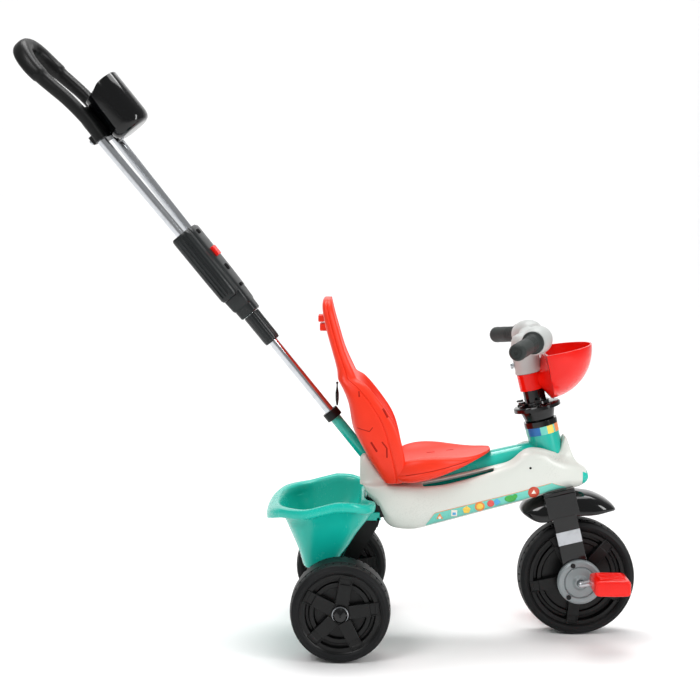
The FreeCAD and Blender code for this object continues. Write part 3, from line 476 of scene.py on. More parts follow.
SHELL_HALF = [(32, 42), (44, 50), (60, 56), (80, 59.5), (130, 60.5), (240, 59), (290, 57), (330, 53),
              (360, 46.5), (380, 39), (396, 31), (404, 26), (410, 22), (412.6, 19), (413.6, 15)]
SHELL_INNER = [(32, 12), (60, 14), (72, 27), (262, 27), (300, 32), (348, 32), (355, 24), (360, 8),
               (366, 1), (413.6, 0.6)]
SHELL_TOWER = [(32, 36), (60, 40), (76, 47), (100, 51), (130, 41), (262, 40), (282, 43), (340, 43),
               (354, 32), (366, 21), (376, 20), (386, 22), (396, 20), (408, 15), (413.6, 8)]
SEAT_GAP = (134, 250)
NOSE_WINDOW = (401.5, 256.5, 277.0)


def shell_section(x):
    """The outer line of the left half of the shell at a place along it."""
    top, shoulder, bottom = (flow(s, x)[0] for s in (SHELL_TOP, SHELL_SHOULDER, SHELL_BOTTOM))
    half, inner, tower = (flow(s, x)[0] for s in (SHELL_HALF, SHELL_INNER, SHELL_TOWER))
    shoulder = min(shoulder, top - 0.4)
    bottom = min(bottom, shoulder - 3)
    tall = shoulder - bottom
    tuck = min(16.0, 0.3 * tall)
    tower = min(tower, half - 3)
    lifted = flow([(318, 0), (350, 7), (392, 7), (408, 1)], x)[0]
    return [
        Vector((x, inner, max(top - 9, bottom + 1))), Vector((x, inner + 0.5, top - 1)),
        Vector((x, (inner + tower) / 2, top)), Vector((x, tower, top - min(2.5, top - shoulder))),
        Vector((x, tower + 1, shoulder + 0.35 * (top - shoulder))),
        Vector((x, (tower + half) / 2, shoulder)), Vector((x, half - 3.5, shoulder - min(2, tuck))),
        Vector((x, half, shoulder - min(9, 0.6 * tuck))), Vector((x, half + 0.6, shoulder - 0.36 * tall)),
        Vector((x, half + 0.4, bottom + 0.34 * tall)), Vector((x, half - 0.8, bottom + tuck)),
        Vector((x, half - 4.5, bottom + 0.3 * tuck)), Vector((x, half - 11, bottom)),
        Vector((x, 0.5 * half, bottom - 0.2 + lifted)), Vector((x, 0.6, bottom + lifted))]


def shell_side(side, sign):
    stations = [32, 34.5, 38, 42, 46, 51, 56, 61, 66, 71, 77, 85, 94, 105, 118, 130, 136, 142, 152, 166,
                182, 200, 218, 234, 246, 252, 262, 272, 284, 296, 308, 320, 332, 342, 349, 354, 358,
                361, 365, 368, 371, 374, 378, 383, 388, 393, 398, 402.5, 406.5, 409.5, 411.6, 412.8,
                413.4, 413.6]
    bm = bmesh.new()
    loft(bm, [shell_section(x) for x in stations], False, False)
    gap = []
    for f in bm.faces:
        c = f.calc_center_median()
        section = shell_section(c.x)
        on_top = section[3].y < c.y < section[5].y - 0.2 and c.z > section[6].z - 1
        if SEAT_GAP[0] < c.x < SEAT_GAP[1] and on_top:
            gap.append(f)
    bmesh.ops.delete(bm, geom=gap, context="FACES")
    start, low, high = NOSE_WINDOW
    for f in bm.faces:
        c = f.calc_center_median()
        f.material_index = int(c.x > start and low < c.z < high)
    if sign < 0:
        bmesh.ops.transform(bm, matrix=Matrix.Diagonal((1, -1, 1, 1)), verts=bm.verts)
    return piece("body_shell_" + side + "_cover", bm, TRIKE, [white_shell, teal_tub], "frame",
                 ["body_shell_" + side], wall=2.5, rounds=2)


shells = {side: shell_side(side, sign) for side, sign in (("left", 1), ("right", -1))}


# ------------------------------------------------------------------ labels, and painted shade in holes and slots
def skin_of(obj):
    """The finished surface of a piece, for laying thin things on it."""
    return BVHTree.FromObject(obj, bpy.context.evaluated_depsgraph_get())


def laid(skin, point, way, lift):
    """The place on a skin under a point of the trike, seen along a way, in millimetres."""
    way = Vector(way)
    hit, normal = skin.ray_cast(TRIKE @ (Vector(point) - way * 200), way)[:2]
    normal = -normal if normal.dot(way) > 0 else normal
    return hit / MM + normal * lift


def line_at(points, x):
    for (x0, z0), (x1, z1) in zip(points, points[1:]):
        if x <= x1:
            return z0 + (z1 - z0) * (x - x0) / (x1 - x0)
    return points[-1][1]


def patch(bm, skin, outline, way, lift, index):
    """A shape with a given outline, laid on a skin in rings so that it follows the skin."""
    middle = sum(outline, Vector()) / len(outline)
    rings = [[laid(skin, middle + (p - middle) * share, way, lift) for p in outline]
             for share in (1.0, 0.75, 0.5, 0.25, 0.02)]
    for f in {f for v in loft(bm, rings, True, False) for f in v.link_faces}:
        f.material_index = index


def label_shape(x, z, radius, corners, turn=0.0, squeeze=1.0):
    tips = [Vector((x + radius * math.cos(turn + math.tau * k / corners), 0,
                    z + radius * squeeze * math.sin(turn + math.tau * k / corners))) for k in range(corners)]
    parts = max(1, 24 // corners)
    return [a.lerp(b, t / parts) for a, b in zip(tips, tips[1:] + tips[:1]) for t in range(parts)]


def label_ink(name, *levels):
    return moulded(name, srgb(*levels), 0.3, 0.03, 0.05, scratch=0.1)


LABEL_TOP = [(140, 194.5), (154.5, 215.5), (348, 263.5), (374.2, 254.0)]
LABEL_INKS = [label_ink("label_mint", 112, 206, 190), label_ink("label_orange", 236, 142, 70),
              label_ink("label_blue", 84, 172, 222), label_ink("label_yellow", 246, 208, 84),
              label_ink("label_coral", 226, 88, 84), label_ink("label_green", 66, 176, 76),
              label_ink("label_brick", 196, 72, 48), label_ink("label_cream", 244, 240, 228)]
LABEL_SHAPES = [
    # along, share of the height, radius, corners, turn, squeeze, ink
    (163, 0.5, 6.5, 3, 90, 1, 1), (163, 0.42, 2.4, 20, 0, 1, 7), (186.8, 0.5, 7.0, 4, 45, 1.1, 7),
    (186.8, 0.45, 4.0, 4, 45, 0.8, 2), (207.2, 0.5, 7.0, 5, 90, 1, 3), (228.9, 0.5, 8.4, 12, 0, 1, 1),
    (228.9, 0.5, 5.4, 20, 0, 1, 3), (247, 0.52, 6.0, 24, 0, 1, 4), (257, 0.5, 6.5, 4, 0, 1, 2),
    (279.2, 0.5, 9.5, 24, 0, 0.62, 5), (287, 0.62, 4.0, 24, 0, 1, 5), (318.1, 0.5, 9.6, 32, 0, 1, 6),
    (318.1, 0.5, 4.6, 3, 90, 1, 7)]


def label_low(x):
    return flow(SHELL_BOTTOM, x)[0] + 4.6


def shell_label(side, sign):
    skin = skin_of(shells[side])
    way = (0, -sign, 0)
    bm = bmesh.new()
    shares = (0.0, 0.2, 0.4, 0.6, 0.8, 0.95, 1.0)
    rings = []
    for x in spaced(140.6, 373.4, 70):
        low, high = label_low(x), line_at(LABEL_TOP, x)
        rings.append([laid(skin, (x, 0, low + (high - low) * share), way, 0.3) for share in shares])
    loft(bm, rings, False, False)
    origin = TRIKE.translation / MM
    for f in bm.faces:
        c = f.calc_center_median() - origin
        high = line_at(LABEL_TOP, c.x)
        f.material_index = int(c.z > high - 0.05 * (high - label_low(c.x)))
    for x, share, radius, corners, turn, squeeze, ink in LABEL_SHAPES:
        low, high = label_low(x), line_at(LABEL_TOP, x)
        shape = label_shape(x, low + (high - low) * share, radius, corners, math.radians(turn), squeeze)
        patch(bm, skin, shape, way, 0.5 + 0.15 * (radius < 6), ink)
    # A near-black dot painted for the shade inside a screw hole.
    patch(bm, skin, label_shape(312, 289, 2.0, 16), way, 0.25, len(LABEL_INKS))
    piece("shell_label_" + side, bm, AS_MADE, LABEL_INKS + [shadow_black], "frame",
          wall=0.2, offset=0.0)


for side, sign in (("left", 1), ("right", -1)):
    shell_label(side, sign)

BAND_INKS = [LABEL_INKS[0], label_ink("band_blue", 28, 106, 176), label_ink("band_yellow", 246, 214, 92),
             label_ink("band_orange", 236, 140, 84)]
bm = bmesh.new()
turned(bm, [(27.02, 249), (27.35, 249.2), (27.35, 262.6), (27.02, 262.8)], 144, closed=True)
for f in bm.faces:
    c = f.calc_center_median()
    angle = math.degrees(math.atan2(c.x, abs(c.y)))
    f.material_index = (1 if -62 < angle < -12 else 2 if 12 < angle < 38 else 3 if 46 < angle < 82 else 0)
piece("head_tube_band", bm, STEER, BAND_INKS, "frame", edge=0.1)


# ------------------------------------------------------------------ seat
SADDLE = [
    # along, half width, side bottom, top edge, dish
    (92, 84, 270, 297, 290), (98, 88, 268, 301, 291), (106, 92, 266.5, 305, 292), (118, 96, 267, 309, 293),
    (132, 98, 270, 311.5, 294.5), (150, 97.5, 274, 312.5, 297), (168, 94, 280, 312, 299.5),
    (186, 87, 287, 310.5, 302), (204, 76, 294, 309.5, 304), (220, 62, 301, 310, 306.5),
    (234, 45, 306, 312, 309.5), (244, 27, 309.5, 314, 312.5), (250, 12, 311.5, 315.5, 314.5)]


MAIN_TUBE_TOP, MAIN_TUBE_RISE, SADDLE_CLEARANCE = 270.1, 0.2204, 1.0


def saddle_section(x):
    """Half of the saddle's outline at a place along it, with an arch over the main tube."""
    half, low, high, dish = flow(SADDLE, x)
    tube = MAIN_TUBE_TOP + (x - 70) * MAIN_TUBE_RISE + SADDLE_CLEARANCE
    tall = high - low
    arch = max(low + 2, min(tube, dish - 3))
    seam = low + tall * (0.36 + 0.2 * (x - 92) / 158)
    s = min(1.0, half / 50)
    return [Vector((x, y, z)) for y, z in (
        (0, arch), (min(20, 0.4 * half), arch), (min(25, 0.5 * half), low + 2.5), (0.68 * half, low + 0.5),
        (0.88 * half, low + 0.03 * tall), (0.965 * half, low + 0.16 * tall), (half - 0.4, seam - 2.2),
        (half - 1.9, seam - 0.6), (half - 1.9, seam + 0.6), (half - 0.2, seam + 2.2),
        (0.985 * half, low + 0.8 * tall), (0.955 * half, high - 3 * s), (0.92 * half, high - 0.7),
        (0.86 * half, high), (0.76 * half, high - 0.28 * (high - dish)),
        (0.6 * half, high - 0.7 * (high - dish)), (0.34 * half, dish + 0.6), (0, dish))]


bm = bmesh.new()
loft(bm, [both_sides(saddle_section(x)) for x in
          (92, 94, 98, 104, 112, 122, 134, 146, 158, 170, 182, 194, 206, 217, 227, 236, 243, 248, 250)])
saddle = piece("seat_saddle", bm, TRIKE, seat_plastic, "frame", ["seat_base"], rounds=2)

BACK_REST = [
    # height, rear, front, half width, hollow of the front, rear seam share
    (265, 72, 100, 74, 3, 0.6), (272, 66, 107, 80, 8, 0.6), (284, 60, 108, 86, 22, 0.62),
    (300, 49, 107, 91, 34, 0.64), (318, 39, 104, 94, 44, 0.66), (336, 29, 100, 95.5, 46, 0.68),
    (354, 20, 95, 95.5, 46, 0.7), (372, 16.5, 86.5, 95, 43, 0.7), (389, 14, 75, 94, 36, 0.68),
    (404, 10, 64, 92, 27, 0.66), (416, 5, 54.5, 89, 20, 0.62), (426, 0, 46, 85, 14, 0.58),
    (433, -4, 38, 81, 8, 0.52), (438, -5.5, 28, 77, 3, 0.5), (443, -5.5, 25.5, 74.5, 2.5, 0.5),
    (452, -6.5, 21.5, 72, 3, 0.5), (464, -9.5, 15.8, 70, 3.5, 0.5), (482, -14.5, 8.2, 68.5, 4, 0.5),
    (500, -19.5, 2.8, 67.5, 4, 0.5), (520, -25, -2.8, 66.5, 4, 0.5), (540, -29, -8.5, 65, 4, 0.5),
    (554, -30.5, -11.8, 60, 3.5, 0.5), (562, -30, -13.4, 52, 3, 0.5), (567, -26, -14.8, 42, 2, 0.5)]


def rest_section(z):
    """Half of the back rest's outline at a height."""
    rear, front, half, hollow, share = flow(BACK_REST, z)
    deep = front - rear
    seam = rear + share * deep
    lip = min(9.0, 0.34 * deep)
    middle = front - hollow
    return [Vector((x, y, z)) for x, y in (
        (rear, 0), (rear + 0.4, 0.5 * half), (rear + 0.03 * deep, 0.8 * half),
        (rear + 0.1 * deep, 0.93 * half), (rear + 0.24 * deep, 0.985 * half), (seam - 3, half),
        (seam - 0.8, half - 0.2), (seam - 0.3, half - 2.0), (seam + 0.5, half - 2.0),
        (seam + 1.0, half - 0.1),
        (front - lip, half - 0.6), (front - 0.35 * lip, half - 2.6), (front, half - 7),
        (front - 0.4 * lip, half - 13), (front - 0.4 * hollow - 1, half - 17),
        (front - 0.86 * hollow, 0.62 * half), (middle, 0.32 * half), (middle, 0))]


bm = bmesh.new()
rest_heights = (265, 267, 272, 280, 290, 302, 314, 326, 338, 350, 362, 374, 385, 395, 404, 412, 420, 427,
                432, 436, 439, 443, 450, 460, 472, 484, 496, 508, 520, 532, 543, 552, 559, 564, 567)
loft(bm, [both_sides(rest_section(z)) for z in rest_heights])
back_rest = piece("seat_back_rest", bm, TRIKE, seat_plastic, "frame", ["seat_back"],
                  rounds=2)
bm = bmesh.new()
block(bm, (-37, -19, 527), (-27, 19, 538))
block(bm, (-34.5, -17, 512), (-21, 17, 524))
piece("seat_back_hook", bm, TRIKE, seat_plastic, "frame", edge=1.6)


def groove(bm, skin, points, width, way):
    """A thin line laid on a skin along some points of the trike, for painted shade in a slot or crease."""
    way = Vector(way)
    for a, b in zip(points, points[1:]):
        a, b = Vector(a), Vector(b)
        ahead = (b - a).normalized()
        across = ahead.cross(way) * width / 2
        count = max(2, round((b - a).length / 3))
        loft(bm, [[laid(skin, a.lerp(b, t) + across * k, way, 0.12) for k in (-1, 0, 1)]
                  for t in spaced(0, 1, count)], False, False)


# Thin darker red lines painted for the shade in the seat's slots and creases.
bm = bmesh.new()
rest_skin, saddle_skin = skin_of(back_rest), skin_of(saddle)
for sign in (-1, 1):
    way = (0, -sign, 0)
    groove(bm, rest_skin, [(26.8, 0, 360.8), (46.9, 0, 355.4), (52.3, 0, 362.2)], 1.1, way)
    groove(bm, rest_skin, [(49.4, 0, 338), (59.1, 0, 322.3)], 3.0, way)
    groove(bm, rest_skin, [(67.1, 0, 338.6), (74.6, 0, 328.8)], 2.0, way)
    groove(bm, rest_skin, [(74.9, 0, 328.6), (75.3, 0, 312.5)], 2.4, way)
    groove(bm, rest_skin, [(68.5, 0, 392.7), (76.5, 0, 378)], 3.2, way)
    groove(bm, rest_skin, [(30, 0, 420), (30.5, 0, 411)], 2.0, way)
    groove(bm, saddle_skin, [(106, 0, 283), (144.7, 0, 290), (185, 0, 298.5), (209.2, 0, 304)], 0.9, way)
    for low, high in ((146, 160), (180, 192)):
        groove(bm, saddle_skin, [(low, sign * 42, 250), (high, sign * 41, 250)], 3.4, (0, 0, -1))
piece("seat_slot_shade_lines", bm, AS_MADE, painted_slot_shade_red, "frame", wall=0.15, offset=0.0)


# ------------------------------------------------------------------ bucket
RIM_LEVEL, FLARE_START, BACK_BOW = 240, -98, 16
CORNER_REACH, NOTCH_HALF, NOTCH_RISE = 18, 58, 26
HINGE_LUG_Y, HOOK_Y = 66, 60


def bucket_rim_height(x):
    return flow([(-124, 214), (-114, 224), (-98, 232.5), (-80, 234), (-62, 235), (-40, 239), (-24, 243.5),
                 (-8, 247), (8, 246.4), (24, 242), (42, 237.5), (60, 235)], x)[0]


BUCKET = [
    # share of the rim's slope, height, rear, front, half width, power, drop from the rim
    (0.0, 128, -60, -12, 84, 5.0, 0), (0.0, 130, -62, -10, 88, 5.0, 0), (0.02, 133, -63.5, -8.5, 90, 4.8, 0),
    (0.1, 152, -69, 4, 99, 4.4, 0), (0.25, 168, -76, 15, 107, 3.8, 0), (0.5, 188, -85, 24, 114.5, 3.5, 0),
    (0.8, 206, -93, 32, 121, 3.2, 0), (1.0, 0, -99, 36.5, 126, 3.0, 20), (1.0, 0, -101, 37.2, 127.5, 3.0, 18),
    (1.0, 0, -106, 38.5, 131, 3.0, 17), (1.0, 0, -115, 39.6, 136, 3.0, 16.4),
    (1.0, 0, -121, 40.8, 139.5, 3.0, 14.6), (1.0, 0, -123.6, 41.6, 140.4, 3.0, 12),
    (1.0, 0, -124, 42, 140.6, 3.0, 5), (1.0, 0, -122.8, 41.2, 139.4, 3.0, 1.2),
    (1.0, 0, -118, 39.6, 136, 3.0, 0.0), (1.0, 0, -110, 37.4, 131, 3.0, 0.6),
    (1.0, 0, -104.5, 35.4, 126.6, 3.0, 2.2), (1.0, 0, -101.4, 33.6, 124.6, 3.0, 6),
    (1.0, 0, -98, 32.6, 122.8, 3.0, 15), (0.8, 206, -90, 29, 118.3, 3.2, 0),
    (0.5, 188, -82, 21, 111.8, 3.5, 0), (0.25, 168, -73, 12, 104.3, 3.8, 0),
    (0.1, 152, -66, 1.5, 96.4, 4.4, 0), (0.02, 134.5, -60.5, -11.5, 87, 4.8, 0),
    (0.0, 131.6, -58, -13.5, 83, 5.0, 0), (0.0, 131.0, -54, -17, 78, 5.0, 0)]


def bucket_ring(share, height, rear, front, half, power, drop):
    """One ring of the tub: squarer ahead, its front corners forward, its back edge bowed."""
    middle, half_x = (front + rear) / 2, (front - rear) / 2
    ring = rounded(64, half_x, half, power - 0.5, 0, (middle, 0))
    squarer = rounded(64, half_x, half, power + 1.6, 0, (middle, 0))
    ring = [q if p.x > middle else p for p, q in zip(ring, squarer)]
    for p in ring:
        rim = bucket_rim_height(p.x)
        p.z = rim - drop if share == 1.0 else height + share * (rim - RIM_LEVEL) * 0.5
        if rear < FLARE_START:
            away = max(0.0, abs(p.y) / half - 0.45) / 0.55
            behind = max(0.0, (middle - p.x) / half_x)
            p.x += BACK_BOW * behind * away**2
        ahead = max(0.0, (p.x - middle) / half_x)
        beside = min(1.0, max(0.0, (abs(p.y) - NOTCH_HALF) / NOTCH_RISE))
        p.x += CORNER_REACH * share**1.5 * ahead**2 * beside * beside * (3 - 2 * beside)
    return ring


bm = bmesh.new()
loft(bm, [bucket_ring(*row) for row in BUCKET])
for sign in (-1, 1):
    lug, hook = sign * HINGE_LUG_Y, sign * HOOK_Y
    block(bm, (-12, lug - 7, 110), (4, lug + 7, 130))
    block(bm, (30, hook - 4, 203.5), (64, hook + 4, 216))
    block(bm, (60, hook - 4, 203.5), (66, hook + 4, 208))
piece("bucket_tub", bm, TRIKE, teal_tub, "bucket", ["bucket"], sharp=48)


# ------------------------------------------------------------------ push bar
def swept(bm, path, section, across=Vector((1, 0, 0))):
    """A section carried along a path. section(k) gives (across, along the turn) pairs."""
    rings = []
    for k, p in enumerate(path):
        ahead = (path[min(k + 1, len(path) - 1)] - path[max(k - 1, 0)]).normalized()
        out = (across - ahead * across.dot(ahead)).normalized()
        side_way = ahead.cross(out)
        rings.append([p + out * a.x + side_way * a.y for a in section(k)])
    loft(bm, rings)


LOOP = [
    # along the loop, forward, out, up the bar, half thickness, half width
    (0.0, 1.5, 36.0, 588, 10.0, 12.5), (0.4, 2.4, 36.4, 600, 9.6, 12.5), (1.0, 4.0, 37.5, 622, 9.6, 12.6),
    (1.6, 3.4, 39.6, 645, 9.8, 12.6), (2.2, 1.4, 41.8, 670, 10.2, 12.6),
    (3.0, -4.2, 43.4, 702, 10.8, 12.6), (3.6, -8.6, 43.2, 726, 11.4, 12.6),
    (3.64, -8.8, 43.2, 728, 12.6, 14.0), (4.2, -11.2, 41.0, 746, 13.4, 14.2),
    (4.8, -12.4, 35.0, 764, 14.2, 14.0), (5.4, -12.8, 25.0, 777.5, 14.8, 13.6),
    (6.0, -13.0, 12.5, 784.5, 15.0, 13.4), (6.6, -13.0, 0.0, 786.4, 15.0, 13.4)]
half_loop = [flow(LOOP, t) for t in spaced(0, 3.6, 19) + spaced(3.66, 6.6, 22)]
whole_loop = half_loop + [[row[0], -row[1], *row[2:]] for row in reversed(half_loop[:-1])]
bm = bmesh.new()
swept(bm, [Vector(row[:3]) for row in whole_loop],
      lambda k: rounded(28, whole_loop[k][3], whole_loop[k][4], 2.7))
yoke = [(586, 8.0, 40.0), (588, 9.6, 42.5), (600, 10.4, 44.5), (622, 10.4, 44.5), (636, 10.0, 42.0),
        (645, 8.8, 38.0), (648, 6.6, 35.0)]
loft(bm, [rounded(40, n, y, 5.0, z, (1.6, 0)) for z, n, y in yoke])
for sign in (-1, 1):
    block(bm, (-13.5, sign * 33 - 8, 588), (-6, sign * 33 + 8, 603))
piece("push_loop", bm, PUSH, black_satin, "bar_upper", ["push_handle"], edge=0.8)
bm = bmesh.new()
turned(bm, [(0, -4.5), (3.6, -4.2), (4.4, -3), (4.4, -1), (2.4, -0.6), (2.4, 4), (0, 4)], 24)
screw_place = PUSH @ Matrix.Translation((-13.4, -33, 595)) @ Matrix.Rotation(math.radians(90), 4, "Y")
piece("loop_screw", bm, screw_place, zinc, "bar_upper", edge=0.3)


def cup():
    """The drink cup with its dipped rim, rounded foot and clip."""
    centre, r = 44.5, 34.0

    def rim(x, drop):
        return flow([(10, 652.5), (18, 652.6), (40, 656), (56, 661.8), (75, 663.2)], x)[0] - drop
    rows = [(-14, 570, None), (-9.5, 570.3, None), (-5, 572.6, None), (-2, 576.8, None), (-0.5, 582, None),
            (0, 588, None), (0, 630, None), (0, None, 1.5), (-0.4, None, 0.4), (-1.2, None, 0),
            (-2.2, None, 0.4), (-2.8, None, 1.6), (-2.8, 628, None), (-2.8, 588, None), (-3.6, 582, None),
            (-6.5, 576.5, None), (-12, 573.4, None), (-16, 573, None)]
    bm = bmesh.new()
    rings = []
    for grow, z, drop in rows:
        ring = rounded(72, r + grow, r + grow, 2.25, z or 0, (centre, 0))
        for p in ring:
            if z is None:
                p.z = rim(p.x, drop)
        rings.append(ring)
    loft(bm, rings)
    block(bm, (11.4, -14, 600), (14, 14, 624))
    block(bm, (10.8, -11, 571), (13.2, 11, 604))
    piece("drink_cup", bm, PUSH, black_gloss, "bar_upper", ["cup_holder"], edge=0.5,
          sharp=50)


cup()

TUBE_Y = 23.4
bm = bmesh.new()
core = [(232, 16.5, 17), (236, 18.4, 20), (256, 19.2, 22), (300, 19.8, 23), (378, 19.8, 23.5),
        (386, 19.4, 23.2), (390, 17.6, 21.5)]
loft(bm, [rounded(48, n, y, 4.6, z) for z, n, y in core])
throat = [(216, 15.4, 15.6), (218, 17.2, 17.2), (236, 17.8, 17.8), (262, 18.0, 18.6)]
loft(bm, [rounded(48, n, y, 3.6, z, (0.4, 0)) for z, n, y in throat])
for sign in (-1, 1):
    lobe = [(257, 12.5, 11), (258, 15, 12.6), (262, 16.6, 13.8), (300, 17.2, 14.4), (380, 17.4, 14.8),
            (386, 17.0, 14.6), (389, 15.4, 13.4)]
    rings = [rounded(40, n, y, 2.7, z, (-1.0, sign * (TUBE_Y + (z - 257) * 0.0095))) for z, n, y in lobe]
    tube = sign * TUBE_Y
    bore = [[Vector((-1.0 + 0.72 * (p.x + 1.0), tube + 0.72 * (p.y - tube), z)) for p in rings[0]]
            for z in (272, 257.2)]
    loft(bm, bore + rings)
for sign in (-1, 1):
    for across, out in ((-9.5, 38.2), (-3.5, 39.6), (2.5, 39.8), (8.5, 38.6)):
        loft(bm, [rounded(12, 1.0, 0.8, 2.0, z, (across, sign * out)) for z in (264, 268, 380, 384)])
piece("bar_coupling", bm, PUSH, dark_housing, "bar_upper", ["coupling"], edge=0.6, sharp=40)
# Near-black patches painted for the shade in the housing's slots and in the openings where the tubes go in.
bm = bmesh.new()
for low, high in ((372, 381), (296, 308), (262, 268)):
    loft(bm, [[Vector((n, p.y, (low + high) / 2 + p.x))
               for p in rounded(24, (high - low) / 2 * k, 7.0 * k, 3.0)]
              for n, k in ((18.6, 1.0), (20.6, 1.0), (20.9, 0.9))])
for sign in (-1, 1):
    loft(bm, [[Vector((-1.0 + p.x, sign * TUBE_Y + p.y, z)) for p in rounded(32, 9.2, 8.0, 2.7)]
              for z in (256.2, 258.6)])
piece("coupling_painted_slot_shade", bm, PUSH, shadow_black, "bar_upper", edge=0.2)



def fluted_ring(z, radius, flute, steps=72):
    """A ring with a shallow flute at every sixth step."""
    ring = []
    for k in range(steps):
        r, a = radius - flute * (k % 6 == 0), math.tau * k / steps
        ring.append(Vector((r * math.cos(a), r * math.sin(a), z)))
    return ring


bm = bmesh.new()
fluted = [(158, 12.6), (159.5, 13.6), (164, 14.2), (210, 14.4), (214.6, 14.4), (215.4, 13.0)]
loft(bm, [fluted_ring(z, 8.2, 0.0) for z in (160, 158)] + [fluted_ring(z, r, 0.5) for z, r in fluted])
piece("bar_sleeve", bm, PUSH, dark_housing, "bar_upper", ["lower_sleeve"], edge=0.3)


# ------------------------------------------------------------------ handlebar and grips
HEAD_KNEE = Vector((21, 60, 410))
GRIP_SWEEP = math.radians(24)


def grip_place(sign):
    way = Vector((-math.sin(GRIP_SWEEP), sign * math.cos(GRIP_SWEEP), 0))
    knee = Vector((HEAD_KNEE.x, sign * HEAD_KNEE.y, HEAD_KNEE.z))
    return knee, way, way.to_track_quat("Z", "Y").to_matrix().to_4x4()


for side, sign in (("left", 1), ("right", -1)):
    knee, way, turn = grip_place(sign)
    bm = bmesh.new()
    profile = [(0, 0.2), (17.6, 0.2), (18.5, 1.2), (18.5, 3.4), (17.4, 4.4), (15.2, 5.2), (13.6, 8.5),
               (13.4, 12)]
    for ring in range(4):
        z = 18 + ring * 5.5
        profile += [(13.4, z), (12.8, z + 0.5), (12.8, z + 1.7), (13.4, z + 2.2)]
    profile += [(13.4, 44), (13.7, 58), (13.5, 76), (13.9, 82), (13.6, 87), (11.8, 90.4), (9.0, 91.8),
                (8.6, 91.2), (7.9, 91.2), (7.5, 91.9), (3.6, 92), (3.2, 90.6), (0, 90.4)]
    turned(bm, profile, 72)
    piece("grip_cover_" + side, bm, STEER @ Matrix.Translation(knee + way * 30.1) @ turn, grip_rubber,
          "steering", ["grip_" + side], sharp=40)

bm = bmesh.new()
turned(bm, [(0, 353.4), (22.5, 353.4), (23.2, 354.4), (23.2, 357.6), (22.4, 358.6), (22.2, 392), (20, 404),
            (17.5, 412), (13, 417.6), (6, 420), (0, 420.2)], 64)
for sign in (-1, 1):
    knee, way, turn = grip_place(sign)
    start = Vector((3, sign * 4, 396))
    path = [start.lerp(knee, t) + Vector((0, 0, 3 * math.sin(t * math.pi))) for t in spaced(0, 1, 9)]
    swept(bm, path, lambda k: rounded(32, 16.5, 15.5, 2.2))
    holder = bmesh.new()
    turned(holder, [(0, -24), (10, -22), (17, -17), (21.5, -9), (23.4, 0), (23.6, 10), (22.6, 18), (20.4, 25),
                    (19.6, 26), (19.8, 29.9), (0, 29.9)], 64)
    bmesh.ops.transform(holder, matrix=Matrix.Translation(knee) @ turn, verts=holder.verts)
    merged(bm, holder)
bars = piece("handlebar_moulding", bm, STEER, grey_plastic, "steering", ["handlebar"])
blend_skin = bars.modifiers.new("one_skin", "REMESH")
blend_skin.mode = "VOXEL"
blend_skin.voxel_size = 1.1 * MM
blend_skin.use_smooth_shade = True
blend_soft = bars.modifiers.new("soft", "SMOOTH")
blend_soft.factor = 0.5
blend_soft.iterations = 10


# ------------------------------------------------------------------ pedals
CRANK_THROW = 42


def pedal(side, sign):
    """A rounded block with a sunk tread of wavy ribs on both faces."""
    bm = bmesh.new()
    half_x, half_z, low, high = 29.0, 13.0, 76.0, 138.0
    ends = [(low, 0.9), (low + 1.2, 0.97), (low + 3.5, 1.0), (high - 3.5, 1.0), (high - 1.2, 0.97),
            (high, 0.9)]
    rings = []
    for y, k in ends:
        rings.append([Vector((p.x, sign * y, p.y)) for p in rounded(48, half_x * k, half_z * k, 6.5)])
    loft(bm, rings)
    for up in (-1, 1):
        for rib in range(5):
            path = [Vector((x, sign * (low + 11 + rib * 10 + 2.6 * math.sin(x / 22 * math.pi)), up * 12.6))
                    for x in spaced(-21, 21, 15)]
            swept(bm, path, lambda k: rounded(12, 1.6, 1.5, 3.0), Vector((0, 0, 1)))
    hub = Matrix.Translation(STEER @ Vector((-sign * CRANK_THROW, 0, 0))) @ AS_MADE
    piece("pedal_block_" + side, bm, hub, red_gloss, "pedal_" + side, ["pedal_" + side],
          edge=0.5, sharp=50)


for side, sign in (("left", 1), ("right", -1)):
    pedal(side, sign)


# ------------------------------------------------------------------ basket scoop and mudguard
bm = bmesh.new()
# forward, half width, height, half height
scoop = [(6, 15, 339, 13.9), (10, 20, 339, 14), (13, 23, 338.5, 15), (16, 28, 338, 18), (19, 36, 338.5, 24),
         (22, 47, 340, 31), (24.5, 59, 341.5, 36), (26.6, 69, 343, 39.5)]
loft(bm, [[Vector((b, p.y, z + p.x)) for p in rounded(48, half_z, half_y, 2.6)]
          for b, half_y, z, half_z in scoop])
piece("basket_scoop", bm, STEER, red_gloss, "steering", sharp=60)

MUDGUARD = [
    # angle forward of upright, crown radius, edge radius, half width
    (-40.6, 146, 143.5, 12), (-40, 148.5, 138, 24), (-38.6, 151, 129, 33), (-36.5, 152.4, 121, 39),
    (-33, 153, 114.5, 43), (-28, 152.2, 111, 44.4), (-20, 150.4, 109.5, 45), (-10, 148.4, 108.8, 45),
    (0, 146.2, 108.6, 45), (9, 144.8, 110.6, 45), (15, 142.8, 114.4, 44.2), (20, 140.6, 119.6, 41.5),
    (24, 138.2, 125, 36.5), (27, 135.6, 128.4, 29.5), (28.8, 133.4, 130.2, 21), (29.6, 132.2, 131, 11)]


def mudguard_section(angle):
    crown, rim, half = flow(MUDGUARD, angle)
    a = math.radians(angle)
    out = Vector((math.sin(a), 0, math.cos(a)))
    section = []
    for t in spaced(-90, 90, 25):
        c, s = math.cos(math.radians(t)), math.sin(math.radians(t))
        r = rim + (crown - rim) * max(c, 0.0) ** 0.72
        section.append(out * r + Vector((0, half * math.copysign(abs(s) ** 0.72, s), 0)))
    return section


